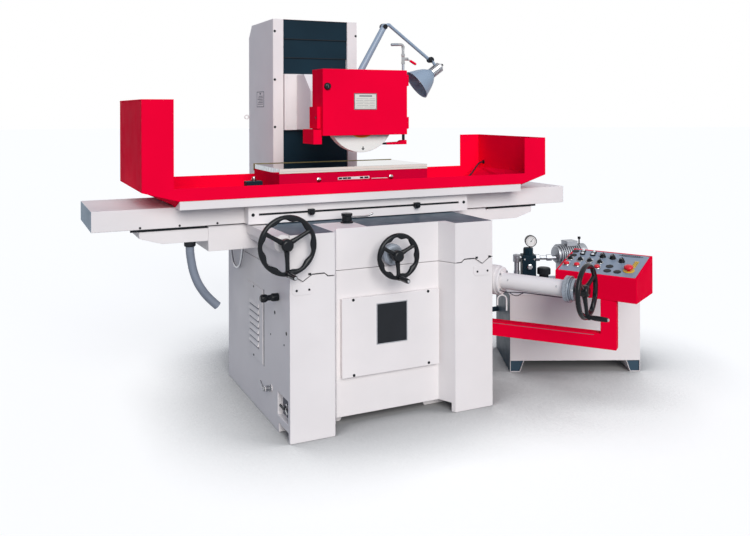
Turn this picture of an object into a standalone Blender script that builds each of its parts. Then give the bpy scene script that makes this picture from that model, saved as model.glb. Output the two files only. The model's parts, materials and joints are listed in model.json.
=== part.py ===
"""Hydraulic surface grinder: column type, with a 400 x 800 mm magnetic chuck and a 355 mm wheel.

Everything is in metres. The machine's own zero is on the floor, at its centre plane (X) and at the
front face of the base (Y); the empty "machine" carries that zero to the middle of the whole model.
X is the table's travel, Y the cross feed (towards the column) and Z the wheelhead's travel.
"""

import math

import bmesh
import bpy
from mathutils import Matrix, Vector

GAP = 0.0003  # clearance between pieces that touch
SEAM = 0.0025  # open seam where two castings face each other without bearing

# Place of the machine's own zero, so that the whole model stands centred on the row's origin
MACHINE_X = -0.2147
MACHINE_Y = -0.5189

# Base
BASE_HALF = 0.5035
BASE_DEPTH = 0.972
BASE_TOP = 0.700
PILLAR_INNER = 0.300
RECESS_HALF = 0.2585
RECESS_DEPTH = 0.087
CENTRE_TOP = 0.687
CENTRE_TOP_HALF = 0.328
FLAT_WAY_HALF = 0.345
WAY_X = 0.446
WAY_HALF = 0.043
WAY_DROP = 0.028
PLINTH_HALF = 0.300
PLINTH_BACK = 1.462
ARCH_HALF = 0.210
ARCH_HEIGHT = 0.031
SIDE_ARCH = (0.022, 0.146, 0.040)  # front, back and height of the side arches
POCKET = (0.028, 0.162, 0.073, 0.171, 0.024)  # front, back, bottom, top and depth

# Covers on the base
FRONT_COVER = (-0.239, 0.253, 0.215, 0.563, 0.020)  # left, right, bottom, top, thickness
LOUVRE_COVER = (0.365, 0.618, 0.229, 0.572, 0.004)  # front, back, bottom, top, thickness
LOUVRES = 7
LOUVRE_RISE = 0.007

# Saddle
SADDLE_TOP = 0.873
WING_END = 0.743
WING_FRONT = 0.420
WING_BACK = 0.842
WING_BOTTOM = 0.758
TRAY_END = 1.045
TRAY_TOP = 0.864
TRAY_BOTTOM = 0.806
TRAY_SHALLOW = 0.835
TRAY_WALL = 0.004
TRAY_SLOPE_END = 0.945
WHEEL_HOUSING = (0.565, 0.012, 0.425, 0.803, 0.030)  # outer X, front, back, bottom, chamfer

# Table
TABLE_HALF = 1.2466
TABLE_FRONT = 0.403
TABLE_BACK = 0.859
TABLE_BOTTOM = 0.878
TABLE_TOP = 0.968
TABLE_WAY_Y = (0.500, 0.762)  # middle of the V way and of the flat way
TABLE_WAY_HALF = 0.032
TABLE_WAY_RISE = 0.020
FLAT_WAY_RISE = 0.012
CROSS_BACK = 0.015  # how far the saddle goes back from here

# Table drive
DRIVE_Y = 0.631
DRIVE_Z = 0.880
CYLINDER_RADIUS = 0.024
CYLINDER_HALF = 0.520
ROD_RADIUS = 0.010
ROD_CLEARANCE = 0.0005
ROD_END = 1.195
DRIVE_GROOVE_HALF = 0.038
DRIVE_GROOVE_BOTTOM = 0.852
BRACKET_HALF = 0.022
BRACKET_BOTTOM = 0.868
TABLE_CHANNEL = (0.040, 0.912)  # half width and roof
WAY_GROOVE_END = 1.205

# Dog rail on the table's front
RAIL_HALF = 0.580
RAIL_FRONT = 0.342
RAIL_TOP = 0.964
SLOT_HALF = 0.530
SLOT_Z = 0.921
SLOT_WIDTH = 0.010
SLOT_DEPTH = 0.012
DOG_REST = 0.280
DOG_WIDTH = 0.030
DOG_HEIGHT = 0.028
DOG_DEPTH = 0.020

# Splash guard
GUARD_SHEET = 0.004
TROUGH_FRONT = 0.310
TROUGH_BACK = 0.957
TROUGH_LEFT = -1.052
TROUGH_RIGHT = 1.050
TROUGH_RIM = 1.058
TROUGH_KNEE = 0.890
TROUGH_END_Z = 1.046
TROUGH_LIP_Z = 1.003
RETURN_WIDTH = 0.134
LEFT_SCREEN_TOP = 1.444
RIGHT_SCREEN_TOP = 1.245

# Magnetic chuck
CHUCK_HALF = 0.400
CHUCK_FRONT = 0.441
CHUCK_BACK = 0.845
CHUCK_TOP = 1.117
CHUCK_PLATE = 0.024
CHUCK_FLOOR_GAP = 0.005

# Column
COLUMN_HALF = 0.250
COLUMN_FRONT = 0.990
COLUMN_TOP = 1.894
COLUMN_BACK = 1.447
COLUMN_TOP_BACK = 1.386
COLUMN_CHAMFER_Z = 1.823
COLUMN_WALL = 0.030
COLUMN_MOUTH = 0.190
COLUMN_LID = 0.0015

# Way covers, from the front one backwards
COVER_SHEET = 0.003
COVER_PITCH = 0.005
COVER_FRONT = 0.9955
COVER_SIDE_GAP = 0.0005
TOP_COVER_Z = (1.785, 1.8920)
MIDDLE_COVER_Z = (1.682, 1.8205)
HEAD_COVER_TOP = 1.730
LOWER_COVER_BOTTOM = 0.775

# Wheelhead
HEAD_TOP = 1.593
HEAD_BOTTOM = 1.287
HEAD_FRONT = 0.970
SLIDE_BACK = 1.120
SNOUT_HALF = 0.120
SNOUT_STEP = 0.760
SNOUT_SLOPE_Y = 0.860
SNOUT_SLOPE_Z = 1.497
SPINDLE_Z = 1.367
SNOUT_RADIUS = 0.093
SPINDLE_BOSS_RADIUS = 0.034
SPINDLE_RADIUS = 0.030
SPINDLE_CLEARANCE = 0.0005
MOTOR_RADIUS = 0.105
MOTOR_LENGTH = 0.250
SCREW_X = 0.165
SCREW_Y = 1.070
SCREW_RADIUS = 0.016
SCREW_CLEARANCE = 0.0005
SCREW_COLLAR_RADIUS = 0.026
SCREW_FOOT = 0.7003

# Grinding wheel
WHEEL_RADIUS = 0.1775
WHEEL_WIDTH = 0.048
WHEEL_FRONT = 0.376
WHEEL_BORE = 0.0635
FLANGE_RADIUS = 0.085
FLANGE_THICK = 0.015
NUT_RADIUS = 0.022
NUT_THICK = 0.009

# Wheel guard
HOOD_LEFT = -0.218
HOOD_RIGHT = 0.231
HOOD_BOTTOM = 1.274
HOOD_TOP = 1.591
HOOD_BACK = 0.477
HOOD_SHEET = 0.005
HOOD_BORE = 0.040
DOOR_FRONT = 0.340
DOOR_BACK = 0.3585
HOOD_FRONT = 0.360
DOOR_SHEET = 0.004
HINGE_X = 0.2385
HINGE_Y = 0.352
HINGE_RADIUS = 0.0068
HINGES = ((1.515, 1.569), (1.303, 1.360))  # bottom and top of each hinge
LATCH = (-0.195, 1.508, 0.015)  # X, Z and radius
LATCH_STEM = 0.006
LUG = (-0.236, 0.370, 0.470, 1.307, 1.412)  # left, front, back, bottom, top
SPARK_BOX = (-0.258, 0.345, 0.502, 1.234, 1.303)

# Coolant pipe
PIPE_X = 0.2462
PIPE_Y = 0.412
PIPE_RADIUS = 0.0065
PIPE_TOP = 1.722
PIPE_CLIP_Z = (1.420, 1.450)  # bottom and top of the clip that holds it to the hood
VALVE_Z = 1.652
NOZZLE_TIP = 0.132
NOZZLE_Z = 1.232

# Lamp
LAMP_X = 0.040
LAMP_Y = 0.600
LAMP_FOOT_RADIUS = 0.020
LAMP_PIVOT_Z = 1.510
LAMP_ELBOW = (0.232, 1.832)
LAMP_JOINT = (0.512, 1.665)
LAMP_PIN_RADIUS = 0.008
LAMP_SEAT_Z = 1.480
LAMP_KNUCKLE = 0.016
LAMP_LOWER_RADIUS = 0.013
LAMP_UPPER_RADIUS = 0.009
LAMP_AIM = (-0.80, 0.10, -0.59)
LAMP_SOCKET = 0.075
LAMP_SHADE = 0.105
LAMP_SHADE_RADIUS = 0.083

# Handwheels: the rim's plane is across the shaft
TABLE_WHEEL_X = -0.533
TABLE_WHEEL_Z = 0.842
TABLE_WHEEL_Y = -0.058
TABLE_WHEEL_RADIUS = 0.115
CROSS_WHEEL_X = 0.006
CROSS_WHEEL_Z = 0.744
CROSS_WHEEL_Y = 0.000
CROSS_WHEEL_RADIUS = 0.093
SHAFT_RADIUS = 0.012
CROSS_SCREW_RADIUS = 0.014
CROSS_SCREW_END = 0.675
CROSS_BOSS = 0.0115
CROSS_BOSS_RADIUS = 0.040
CROSS_DIAL_RADIUS = 0.048
CROSS_DIAL_THICK = 0.032
FEED_NUT = (0.145, 0.200, 0.034)  # front, back and radius
LIFT_WHEEL_RADIUS = 0.115
RIM_RADIUS = 0.0115
GRIP_LENGTH = 0.080
GRIP_RADIUS = 0.0115
GRIP_START = 0.016  # from the rim's plane to the grip
CRANK_BOSS_RADIUS = 0.0135
PIN_RADIUS = 0.0045
PIN_HEAD_RADIUS = 0.0068
PIN_HEAD_THICK = 0.0072
HUB_RADIUS = 0.027
HUB_FRONT = 0.012  # hub's front face to the rim's plane
HUB_LENGTH = 0.044
SPOKE_ANGLES = (30, 150, 270)
SPOKE_RADIUS = 0.0075

# Reversing lever on the saddle
LEVER_X = -0.142
LEVER_Y = 0.235
LEVER_RADIUS = 0.026
LEVER_REACH = 0.135
LEVER_STEM = 0.008
LEVER_ROD = 0.004

# Elevating shaft housing: its own frame is turned about Z, and its shaft runs along local -Y
PENDANT_TURN = math.radians(30.0)
LIFT_ROOT_Y = 0.150
LIFT_Z = 0.579
LIFT_FLANGE = 0.137
LIFT_TUBE_END = 0.463
LIFT_HUB = 0.559
LIFT_TUBE_RADIUS = 0.039
LIFT_FLANGE_RADIUS = 0.064
LIFT_BOSS_RADIUS = 0.070
LIFT_DIAL_RADIUS = 0.060
LIFT_DIAL_LENGTH = 0.048

# Control pendant: local X goes back from its front face, local Y along it, from the right end
PENDANT_X = 1.0268
PENDANT_Y = -0.3869
PENDANT_LENGTH = 0.390
PENDANT_DEPTH = 0.262
PENDANT_BOTTOM = 0.506
PENDANT_FRONT_TOP = 0.619
PENDANT_BACK_TOP = 0.686
PENDANT_WALL = 0.014
PANEL_EDGE = 0.010
PANEL_THICK = 0.003
ARM_ROOT_Y = 0.290
ARM_TURN = math.radians(39.0)
ARM_BOTTOM = 0.277
ARM_HEIGHT = 0.070
ARM_WIDTH = 0.055
ARM_REACH = 0.762
POST_WIDTH = 0.072

# Controls, each at (back from the front edge, along from the right end)
RED_BUTTONS = ((0.074, 0.361), (0.074, 0.309), (0.074, 0.209))
SELECTORS = ((0.137, 0.366), (0.135, 0.314), (0.132, 0.266), (0.129, 0.215))
SPEED_KNOBS = ((0.195, 0.221), (0.189, 0.170), (0.163, 0.118))
STOP_BUTTON = (0.077, 0.059)
CONTROL_BORE = 0.0080
STEM_RADIUS = 0.0075
BUTTON_RADIUS = 0.0135
SELECTOR_RADIUS = 0.0145
KNOB_BASE_RADIUS = 0.0155
STOP_RADIUS = 0.0215

# Hydraulic tank: its own frame is turned about Z, with the corner by the base as its zero
TANK_X = 0.853
TANK_Y = 0.356
TANK_TURN = math.radians(-25.0)
TANK_LENGTH = 0.693
TANK_DEPTH = 0.450
TANK_BOTTOM = 0.060
TANK_TOP = 0.410
TANK_FOOT = 0.075
TANK_LID = 0.006
TANK_BRIM = 0.004
FOOT_TAPER = 0.022
PUMP_X = 0.297
PUMP_Y = 0.240
PUMP_Z = 0.581
PUMP_TURN = math.radians(20.0)
PUMP_RADIUS = 0.056
PUMP_LENGTH = 0.190
PUMP_FINS = 5
PUMP_FIN_DEPTH = 0.010
PUMP_OUTLET_RADIUS = 0.012
VALVE_X = 0.148
VALVE_Y = 0.250
VALVE_HALF = 0.038
VALVE_TOP = 0.580
VALVE_BONNET = (0.028, 0.618)  # radius and top
GAUGE_X = 0.162
GAUGE_Z = 0.655
GAUGE_RADIUS = 0.033
CAP_X = 0.234
CAP_RADIUS = 0.037
CAP_NECK_RADIUS = 0.026
CAP_BOTTOM = 0.472
CAP_TOP = 0.508
ELBOW_X = 0.083
ELBOW_RADIUS = 0.011
ELBOW_TOP = 0.582
SPUR_Z = 0.568
OIL_PIPE = (0.02, 0.40, 0.24, 0.014)  # its start in the tank's frame, and radius

# Small fittings on the base's left side
KNOB_Y = 0.148
KNOB_Z = 0.587
KNOB_RADIUS = 0.0175
KNOB_LENGTH = 0.082
KNOB_WAIST_RADIUS = 0.012
COCK_Y = 0.250
COCK_Z = 0.160
COCK_RADIUS = 0.011
COCK_LENGTH = 0.034

# Coolant drain hose: radius, and its route from the left tray to its open end
HOSE_RADIUS = 0.0195
HOSE_ROUTE = (
    (-0.8200, 0.450, 0.8057),
    (-0.8200, 0.450, 0.780),
    (-0.819, 0.450, 0.755),
    (-0.816, 0.450, 0.730),
    (-0.812, 0.450, 0.706),
    (-0.807, 0.450, 0.680),
    (-0.800, 0.450, 0.655),
    (-0.791, 0.450, 0.630),
    (-0.780, 0.450, 0.606),
    (-0.766, 0.450, 0.583),
    (-0.750, 0.450, 0.560),
    (-0.732, 0.450, 0.539),
    (-0.7135, 0.450, 0.520),
    (-0.695, 0.450, 0.502),
)
# Chuck cable: radius, and its route from the eye in the right screen to the gland on the chuck
CABLE_RADIUS = 0.0045
CABLE_ROUTE = (
    (1.051, 0.900, 1.080),
    (1.030, 0.899, 1.079),
    (1.011, 0.896, 1.072),
    (0.993, 0.891, 1.059),
    (0.974, 0.884, 1.042),
    (0.952, 0.876, 1.023),
    (0.928, 0.868, 1.005),
    (0.900, 0.859, 0.991),
    (0.868, 0.850, 0.982),
    (0.832, 0.840, 0.9775),
    (0.794, 0.830, 0.9772),
    (0.754, 0.819, 0.9772),
    (0.712, 0.808, 0.9772),
    (0.668, 0.797, 0.9772),
    (0.624, 0.787, 0.9773),
    (0.580, 0.778, 0.980),
    (0.538, 0.770, 0.987),
    (0.500, 0.764, 0.997),
    (0.466, 0.7593, 1.0085),
    (0.445, 0.759, 1.010),
    (0.424, 0.759, 1.010),
)


# ---------------------------------------------------------------- materials


def material(name, colour, roughness, metallic=0.0):
    mat = bpy.data.materials.get(name)
    if mat is None:
        mat = bpy.data.materials.new(name)
        mat.use_nodes = True
        shader = mat.node_tree.nodes["Principled BSDF"]
        shader.inputs["Base Color"].default_value = (*colour, 1.0)
        shader.inputs["Roughness"].default_value = roughness
        shader.inputs["Metallic"].default_value = metallic
        mat.diffuse_color = (*colour, 1.0)
    return mat


def white_paint():
    return material("white_paint", (0.80, 0.76, 0.76), 0.40)


def red_paint():
    return material("red_paint", (0.80, 0.0, 0.03), 0.35)


def slate_paint():
    return material("slate_paint", (0.03, 0.06, 0.09), 0.45)


def black_plastic():
    return material("black_plastic", (0.015, 0.018, 0.022), 0.30)


def bright_steel():
    return material("bright_steel", (0.62, 0.63, 0.65), 0.25, 1.0)


def ground_steel():
    return material("ground_steel", (0.50, 0.52, 0.54), 0.30, 1.0)


def abrasive():
    return material("abrasive", (0.82, 0.81, 0.78), 0.90)


def grey_hose():
    return material("grey_hose", (0.25, 0.28, 0.33), 0.55)


def lamp_grey():
    return material("lamp_grey", (0.33, 0.36, 0.42), 0.35)


def panel_blue():
    return material("panel_blue", (0.28, 0.34, 0.42), 0.45)


# ---------------------------------------------------------------- shapes


def from_faces(verts, faces):
    bm = bmesh.new()
    made = [bm.verts.new(v) for v in verts]
    for face in faces:
        bm.faces.new([made[i] for i in face])
    bmesh.ops.recalc_face_normals(bm, faces=bm.faces)
    return bm


def block(low, high):
    corners = [(x, y, z) for x in (low[0], high[0]) for y in (low[1], high[1]) for z in (low[2], high[2])]
    sides = ((0, 1, 3, 2), (4, 6, 7, 5), (0, 4, 5, 1), (2, 3, 7, 6), (0, 2, 6, 4), (1, 5, 7, 3))
    return from_faces(corners, sides)


def prism(outline, axis, low, high):
    """A closed outline pushed along an axis. The outline's two numbers are the other axes in order."""

    def place(point, along):
        spot = list(point)
        spot.insert("XYZ".index(axis), along)
        return spot

    count = len(outline)
    verts = [place(p, low) for p in outline] + [place(p, high) for p in outline]
    faces = [tuple(range(count)), tuple(range(2 * count - 1, count - 1, -1))]
    faces += [(i, (i + 1) % count, count + (i + 1) % count, count + i) for i in range(count)]
    return from_faces(verts, faces)


def lathe(profile, steps, axis, centre):
    """A profile of (radius, distance along the axis) turned into a solid; radius 0 closes an end.

    A profile that never touches the axis is joined end to end, so it makes a ring.
    """
    bm = bmesh.new()
    rings = []
    for radius, along in profile:
        if radius == 0:
            rings.append([bm.verts.new((0, 0, along))] * steps)
            continue
        turns = [2 * math.pi * k / steps for k in range(steps)]
        rings.append([bm.verts.new((radius * math.cos(a), radius * math.sin(a), along)) for a in turns])
    open_ends = profile[0][0] == 0
    pairs = list(zip(rings, rings[1:]))
    if not open_ends:
        pairs.append((rings[-1], rings[0]))
    for first, second in pairs:
        for k in range(steps):
            corners = (first[k], first[(k + 1) % steps], second[(k + 1) % steps], second[k])
            face = list(dict.fromkeys(corners))
            if len(face) > 2:
                bm.faces.new(face)
    bmesh.ops.recalc_face_normals(bm, faces=bm.faces)
    bmesh.ops.transform(bm, matrix=Matrix.Translation(centre) @ axis_turn(axis), verts=bm.verts)
    return bm


def axis_turn(axis):
    """The turn that carries +Z to the axis, given as a letter or as a direction."""
    letters = {"X": (1, 0, 0), "Y": (0, 1, 0), "Z": (0, 0, 1), "-X": (-1, 0, 0), "-Y": (0, -1, 0)}
    direction = Vector(letters.get(axis, axis)) if isinstance(axis, str) else Vector(axis)
    return direction.to_track_quat("Z", "Y").to_matrix().to_4x4()


def cylinder(start, end, radius, steps=20):
    start = Vector(start)
    length = (Vector(end) - start).length
    direction = (Vector(end) - start).normalized()
    return lathe(((0, 0), (radius, 0), (radius, length), (0, length)), steps, tuple(direction), start)


def pipe(start, end, outer, inner, steps=24):
    start = Vector(start)
    length = (Vector(end) - start).length
    direction = (Vector(end) - start).normalized()
    profile = ((inner, 0), (outer, 0), (outer, length), (inner, length))
    return lathe(profile, steps, tuple(direction), start)


def scalloped_rim(centre, radius, tube, turns=36, around=6, waves=9):
    """A handwheel's rim about the Y axis, with finger hollows round its inside."""
    bm = bmesh.new()
    rings = []
    for k in range(turns):
        angle = 2 * math.pi * k / turns
        ring = []
        for m in range(around):
            lean = 2 * math.pi * m / around
            inward = max(0.0, -math.cos(lean))
            swell = 1.0 + 0.45 * inward * math.cos(waves * angle)
            out = radius + tube * swell * math.cos(lean)
            spot = (out * math.cos(angle), tube * math.sin(lean), out * math.sin(angle))
            ring.append(bm.verts.new(Vector(centre) + Vector(spot)))
        rings.append(ring)
    for first, second in zip(rings, rings[1:] + rings[:1]):
        for m in range(around):
            bm.faces.new((first[m], first[(m + 1) % around], second[(m + 1) % around], second[m]))
    bmesh.ops.recalc_face_normals(bm, faces=bm.faces)
    return bm


# ---------------------------------------------------------------- objects


def empty(name, parent, place=(0, 0, 0), turn=0.0):
    obj = bpy.data.objects.new(name, None)
    bpy.context.scene.collection.objects.link(obj)
    obj.parent = parent
    obj.location = place
    obj.rotation_euler = (0, 0, turn)
    return obj


def mesh_object(name, bm, parent, origin):
    bmesh.ops.translate(bm, vec=-Vector(origin), verts=bm.verts)
    mesh = bpy.data.meshes.new(name)
    bm.to_mesh(mesh)
    bm.free()
    obj = bpy.data.objects.new(name, mesh)
    obj.parent = parent
    obj.location = origin
    return obj


def operand_group(name, shapes, parent, origin):
    """A hidden collection of shapes that a Boolean joins to, or takes from, a solid."""
    group = bpy.data.collections.new(name)
    bpy.context.scene.collection.children.link(group)
    for number, bm in enumerate(shapes, 1):
        helper = mesh_object(f"{name}_{number}", bm, parent, origin)
        helper.display_type = "WIRE"
        helper.hide_render = True
        group.objects.link(helper)
    return group


def solid(name, joined, parent, look, origin=(0, 0, 0), cuts=(), added=()):
    """One closed body: the first shape, the others joined to it, the cuts taken away, then what is added."""
    obj = mesh_object(name, joined[0], parent, origin)
    bpy.context.scene.collection.objects.link(obj)
    obj.data.materials.append(look)
    steps = (("UNION", joined[1:], "joined"), ("DIFFERENCE", cuts, "cuts"), ("UNION", added, "added"))
    for operation, shapes, word in steps:
        if not shapes:
            continue
        modifier = obj.modifiers.new(word, "BOOLEAN")
        modifier.operation = operation
        modifier.solver = "EXACT"
        modifier.operand_type = "COLLECTION"
        modifier.collection = operand_group(f"{name}_{word}", shapes, parent, origin)
    obj.data.shade_smooth()
    obj.data.set_sharp_from_angle(angle=math.radians(35))
    return obj


def smooth(route, parts):
    """Points on a smooth curve through the route, with this many to each stretch of it."""
    spots = [Vector(route[0]), *(Vector(spot) for spot in route), Vector(route[-1])]
    points = []
    for before, start, end, after in zip(spots, spots[1:], spots[2:], spots[3:]):
        for k in range(parts):
            t = k / parts
            bend = (2 * before - 5 * start + 4 * end - after) * t * t
            curl = (3 * (start - end) + after - before) * t * t * t
            points.append((2 * start + (end - before) * t + bend + curl) / 2)
    return points + [Vector(route[-1])]


def cord(name, route, radius, parent, look, parts=1):
    """A round cord along a smooth curve through its route."""
    route = smooth(route, parts)
    curve = bpy.data.curves.new(name, "CURVE")
    curve.dimensions = "3D"
    curve.bevel_depth = radius
    curve.bevel_resolution = 2
    curve.use_fill_caps = True
    spline = curve.splines.new("POLY")
    spline.points.add(len(route) - 1)
    for point, spot in zip(spline.points, route):
        point.co = (*spot, 1.0)
    curve.materials.append(look)
    obj = bpy.data.objects.new(name, curve)
    bpy.context.scene.collection.objects.link(obj)
    obj.parent = parent
    return obj


# ---------------------------------------------------------------- base and its covers


def way_line(lift, v_lift):
    """The parting line between base and saddle, from left to right, seen from the front."""
    v_half = (WAY_DROP + lift - v_lift) * WAY_HALF / WAY_DROP
    half = [
        (BASE_HALF, BASE_TOP + lift),
        (WAY_X + v_half, BASE_TOP + lift),
        (WAY_X, BASE_TOP - WAY_DROP + v_lift),
        (WAY_X - v_half, BASE_TOP + lift),
        (FLAT_WAY_HALF, BASE_TOP + lift),
        (CENTRE_TOP_HALF, CENTRE_TOP + lift),
    ]
    left = [(-x, z) for x, z in half]
    return left + half[::-1]


def front_outline(half, back):
    """The plan shared by base and saddle: two pillars, with the middle set back between them."""
    left = [(-half, 0), (-PILLAR_INNER, 0), (-RECESS_HALF, RECESS_DEPTH)]
    return left + [(-x, y) for x, y in left[::-1]] + [(half, back), (-half, back)]


def base_casting(root):
    body = prism(front_outline(BASE_HALF, BASE_DEPTH), "Z", 0, BASE_TOP)
    plinth = block((-PLINTH_HALF, BASE_DEPTH - 0.05, 0), (PLINTH_HALF, PLINTH_BACK, BASE_TOP - SEAM))
    collar = COCK_RADIUS + 0.004
    profile = ((0, 0), (collar, 0), (collar, 0.006), (COCK_RADIUS, 0.008), (COCK_RADIUS, COCK_LENGTH),
               (0, COCK_LENGTH))
    cock = lathe(profile, 16, "-X", (-BASE_HALF + 0.002, COCK_Y, COCK_Z))
    line = way_line(0, 0)
    over = prism(line + [(BASE_HALF + 0.1, BASE_TOP), (BASE_HALF + 0.1, 1.0), (-BASE_HALF - 0.1, 1.0),
                         (-BASE_HALF - 0.1, BASE_TOP)], "Y", -0.1, BASE_DEPTH + CROSS_BACK + 0.002)
    arch = prism([(-ARCH_HALF - 0.01, -0.01), (ARCH_HALF + 0.01, -0.01), (ARCH_HALF - 0.01, ARCH_HEIGHT),
                  (-ARCH_HALF + 0.01, ARCH_HEIGHT)], "Y", -0.1, BASE_DEPTH - 0.2)
    front, back, height = SIDE_ARCH
    side_arch = block((-BASE_HALF - 0.1, front, -0.01), (BASE_HALF + 0.1, back, height))
    low_y, high_y, low_z, high_z, depth = POCKET
    pocket = block((-BASE_HALF - 0.1, low_y, low_z), (-BASE_HALF + depth, high_y, high_z))
    cuts = [over, arch, side_arch, pocket]
    return solid("base_casting", [body, plinth, cock], root, white_paint(), cuts=cuts, added=feed_nut())


def feed_nut():
    """The nut of the cross feed screw and its foot, which stand on the base's lower middle."""
    front, back, radius = FEED_NUT
    ring = pipe((CROSS_WHEEL_X, front, CROSS_WHEEL_Z), (CROSS_WHEEL_X, back, CROSS_WHEEL_Z), radius,
                CROSS_SCREW_RADIUS + ROD_CLEARANCE, 20)
    foot = block((CROSS_WHEEL_X - radius, front + 0.004, CENTRE_TOP - 0.01),
                 (CROSS_WHEEL_X + radius, back - 0.004, CROSS_WHEEL_Z - 0.7 * radius))
    return [ring, foot]


def front_cover_plate(root):
    left, right, bottom, top, thick = FRONT_COVER
    back = RECESS_DEPTH - GAP
    plate = block((left, back - thick, bottom), (right, back, top))
    return solid("front_cover_plate", [plate], root, white_paint())


def side_louvre_cover(root):
    front, back, bottom, top, thick = LOUVRE_COVER
    face = -BASE_HALF - GAP
    shapes = [block((face - thick, front, bottom), (face, back, top))]
    pitch = (top - bottom - 0.13) / LOUVRES
    for number in range(LOUVRES):
        low = bottom + 0.065 + number * pitch
        profile = [(face - thick + 0.001, low), (face - thick - LOUVRE_RISE, low + 0.004),
                   (face - thick + 0.001, low + 0.030)]
        shapes.append(prism(profile, "Y", front + 0.055, back - 0.055))
    return solid("side_louvre_cover", shapes, root, white_paint())


# ---------------------------------------------------------------- saddle and what it carries


def saddle_casting(saddle):
    body = prism(front_outline(BASE_HALF, BASE_DEPTH), "Z", 0.60, SADDLE_TOP)
    wings = block((-WING_END, WING_FRONT, WING_BOTTOM), (WING_END, WING_BACK, SADDLE_TOP - 0.001))
    low, high = TABLE_WAY_Y
    v_way = prism([(low - TABLE_WAY_HALF, SADDLE_TOP - 0.03), (low + TABLE_WAY_HALF, SADDLE_TOP - 0.03),
                   (low + TABLE_WAY_HALF, SADDLE_TOP), (low, SADDLE_TOP + TABLE_WAY_RISE),
                   (low - TABLE_WAY_HALF, SADDLE_TOP)], "X", -WING_END + 0.01, WING_END - 0.01)
    flat_way = block((-WING_END + 0.01, high - TABLE_WAY_HALF, SADDLE_TOP - 0.03),
                     (WING_END - 0.01, high + TABLE_WAY_HALF, SADDLE_TOP + FLAT_WAY_RISE))
    boss = cylinder((CROSS_WHEEL_X, RECESS_DEPTH - CROSS_BOSS, CROSS_WHEEL_Z),
                    (CROSS_WHEEL_X, RECESS_DEPTH + 0.01, CROSS_WHEEL_Z), CROSS_BOSS_RADIUS, 24)
    side = BASE_HALF + 0.01
    below = [(side, BASE_TOP + SEAM), (side, 0.5), (-side, 0.5), (-side, BASE_TOP + SEAM)]
    under = prism(below + way_line(SEAM, GAP * 1.2), "Y", -0.1, BASE_DEPTH + 0.1)
    groove = block((-WING_END - 0.01, DRIVE_Y - DRIVE_GROOVE_HALF, DRIVE_GROOVE_BOTTOM),
                   (WING_END + 0.01, DRIVE_Y + DRIVE_GROOVE_HALF, SADDLE_TOP + 0.1))
    front, _, radius = FEED_NUT
    side = radius + 0.006
    nut_path = block((CROSS_WHEEL_X - side, front - CROSS_BACK - 0.008, 0.60),
                     (CROSS_WHEEL_X + side, CROSS_SCREW_END + 0.010, CROSS_WHEEL_Z + side))
    screw_bore = cylinder((CROSS_WHEEL_X, -0.1, CROSS_WHEEL_Z), (CROSS_WHEEL_X, front, CROSS_WHEEL_Z),
                          CROSS_SCREW_RADIUS + ROD_CLEARANCE, 16)
    shaft_bore = cylinder((TABLE_WHEEL_X, -0.1, TABLE_WHEEL_Z), (TABLE_WHEEL_X, 0.2, TABLE_WHEEL_Z),
                          SHAFT_RADIUS + ROD_CLEARANCE, 16)
    lever_bore = cylinder((LEVER_X, LEVER_Y, SADDLE_TOP - 0.012), (LEVER_X, LEVER_Y, 1.0),
                          LEVER_STEM + ROD_CLEARANCE, 12)
    shapes = [body, wings, v_way, flat_way, boss, wheel_housing(), tray(-1), tray(1)]
    cuts = [under, groove, nut_path, screw_bore, shaft_bore, lever_bore, tray_hollow(-1), tray_hollow(1)]
    return solid("saddle_casting", shapes, saddle, white_paint(), cuts=cuts)


def wheel_housing():
    """The gear housing on the saddle's left side that carries the table handwheel."""
    outer, front, back, bottom, chamfer = WHEEL_HOUSING
    outline = [(-outer, bottom + chamfer), (-outer + chamfer * 0.6, bottom), (-BASE_HALF + 0.02, bottom),
               (-BASE_HALF + 0.02, SADDLE_TOP - 0.001), (-outer, SADDLE_TOP - 0.001)]
    return prism(outline, "Y", front, back + 0.01)


def tray_outline(side, inset):
    """A tray's side view: shallower towards its outer end."""
    end = TRAY_END - inset
    knee = TRAY_SLOPE_END - inset
    start = WING_END - 0.02 + 1.1 * inset
    top = TRAY_TOP + (0.1 if inset else 0)
    points = [(start, TRAY_BOTTOM + inset), (knee, TRAY_BOTTOM + inset), (end, TRAY_SHALLOW + inset),
              (end, top), (start, top)]
    return [(side * x, z) for x, z in points]


def tray(side):
    return prism(tray_outline(side, 0), "Y", WING_FRONT + 0.006, WING_BACK - 0.006)


def tray_hollow(side):
    outline = tray_outline(side, TRAY_WALL)
    start = side * (WING_END + 0.0005)
    outline[0] = (start, outline[0][1])
    outline[4] = (start, outline[4][1])
    return prism(outline, "Y", WING_FRONT + 0.006 + TRAY_WALL, WING_BACK - 0.006 - TRAY_WALL)


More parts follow.
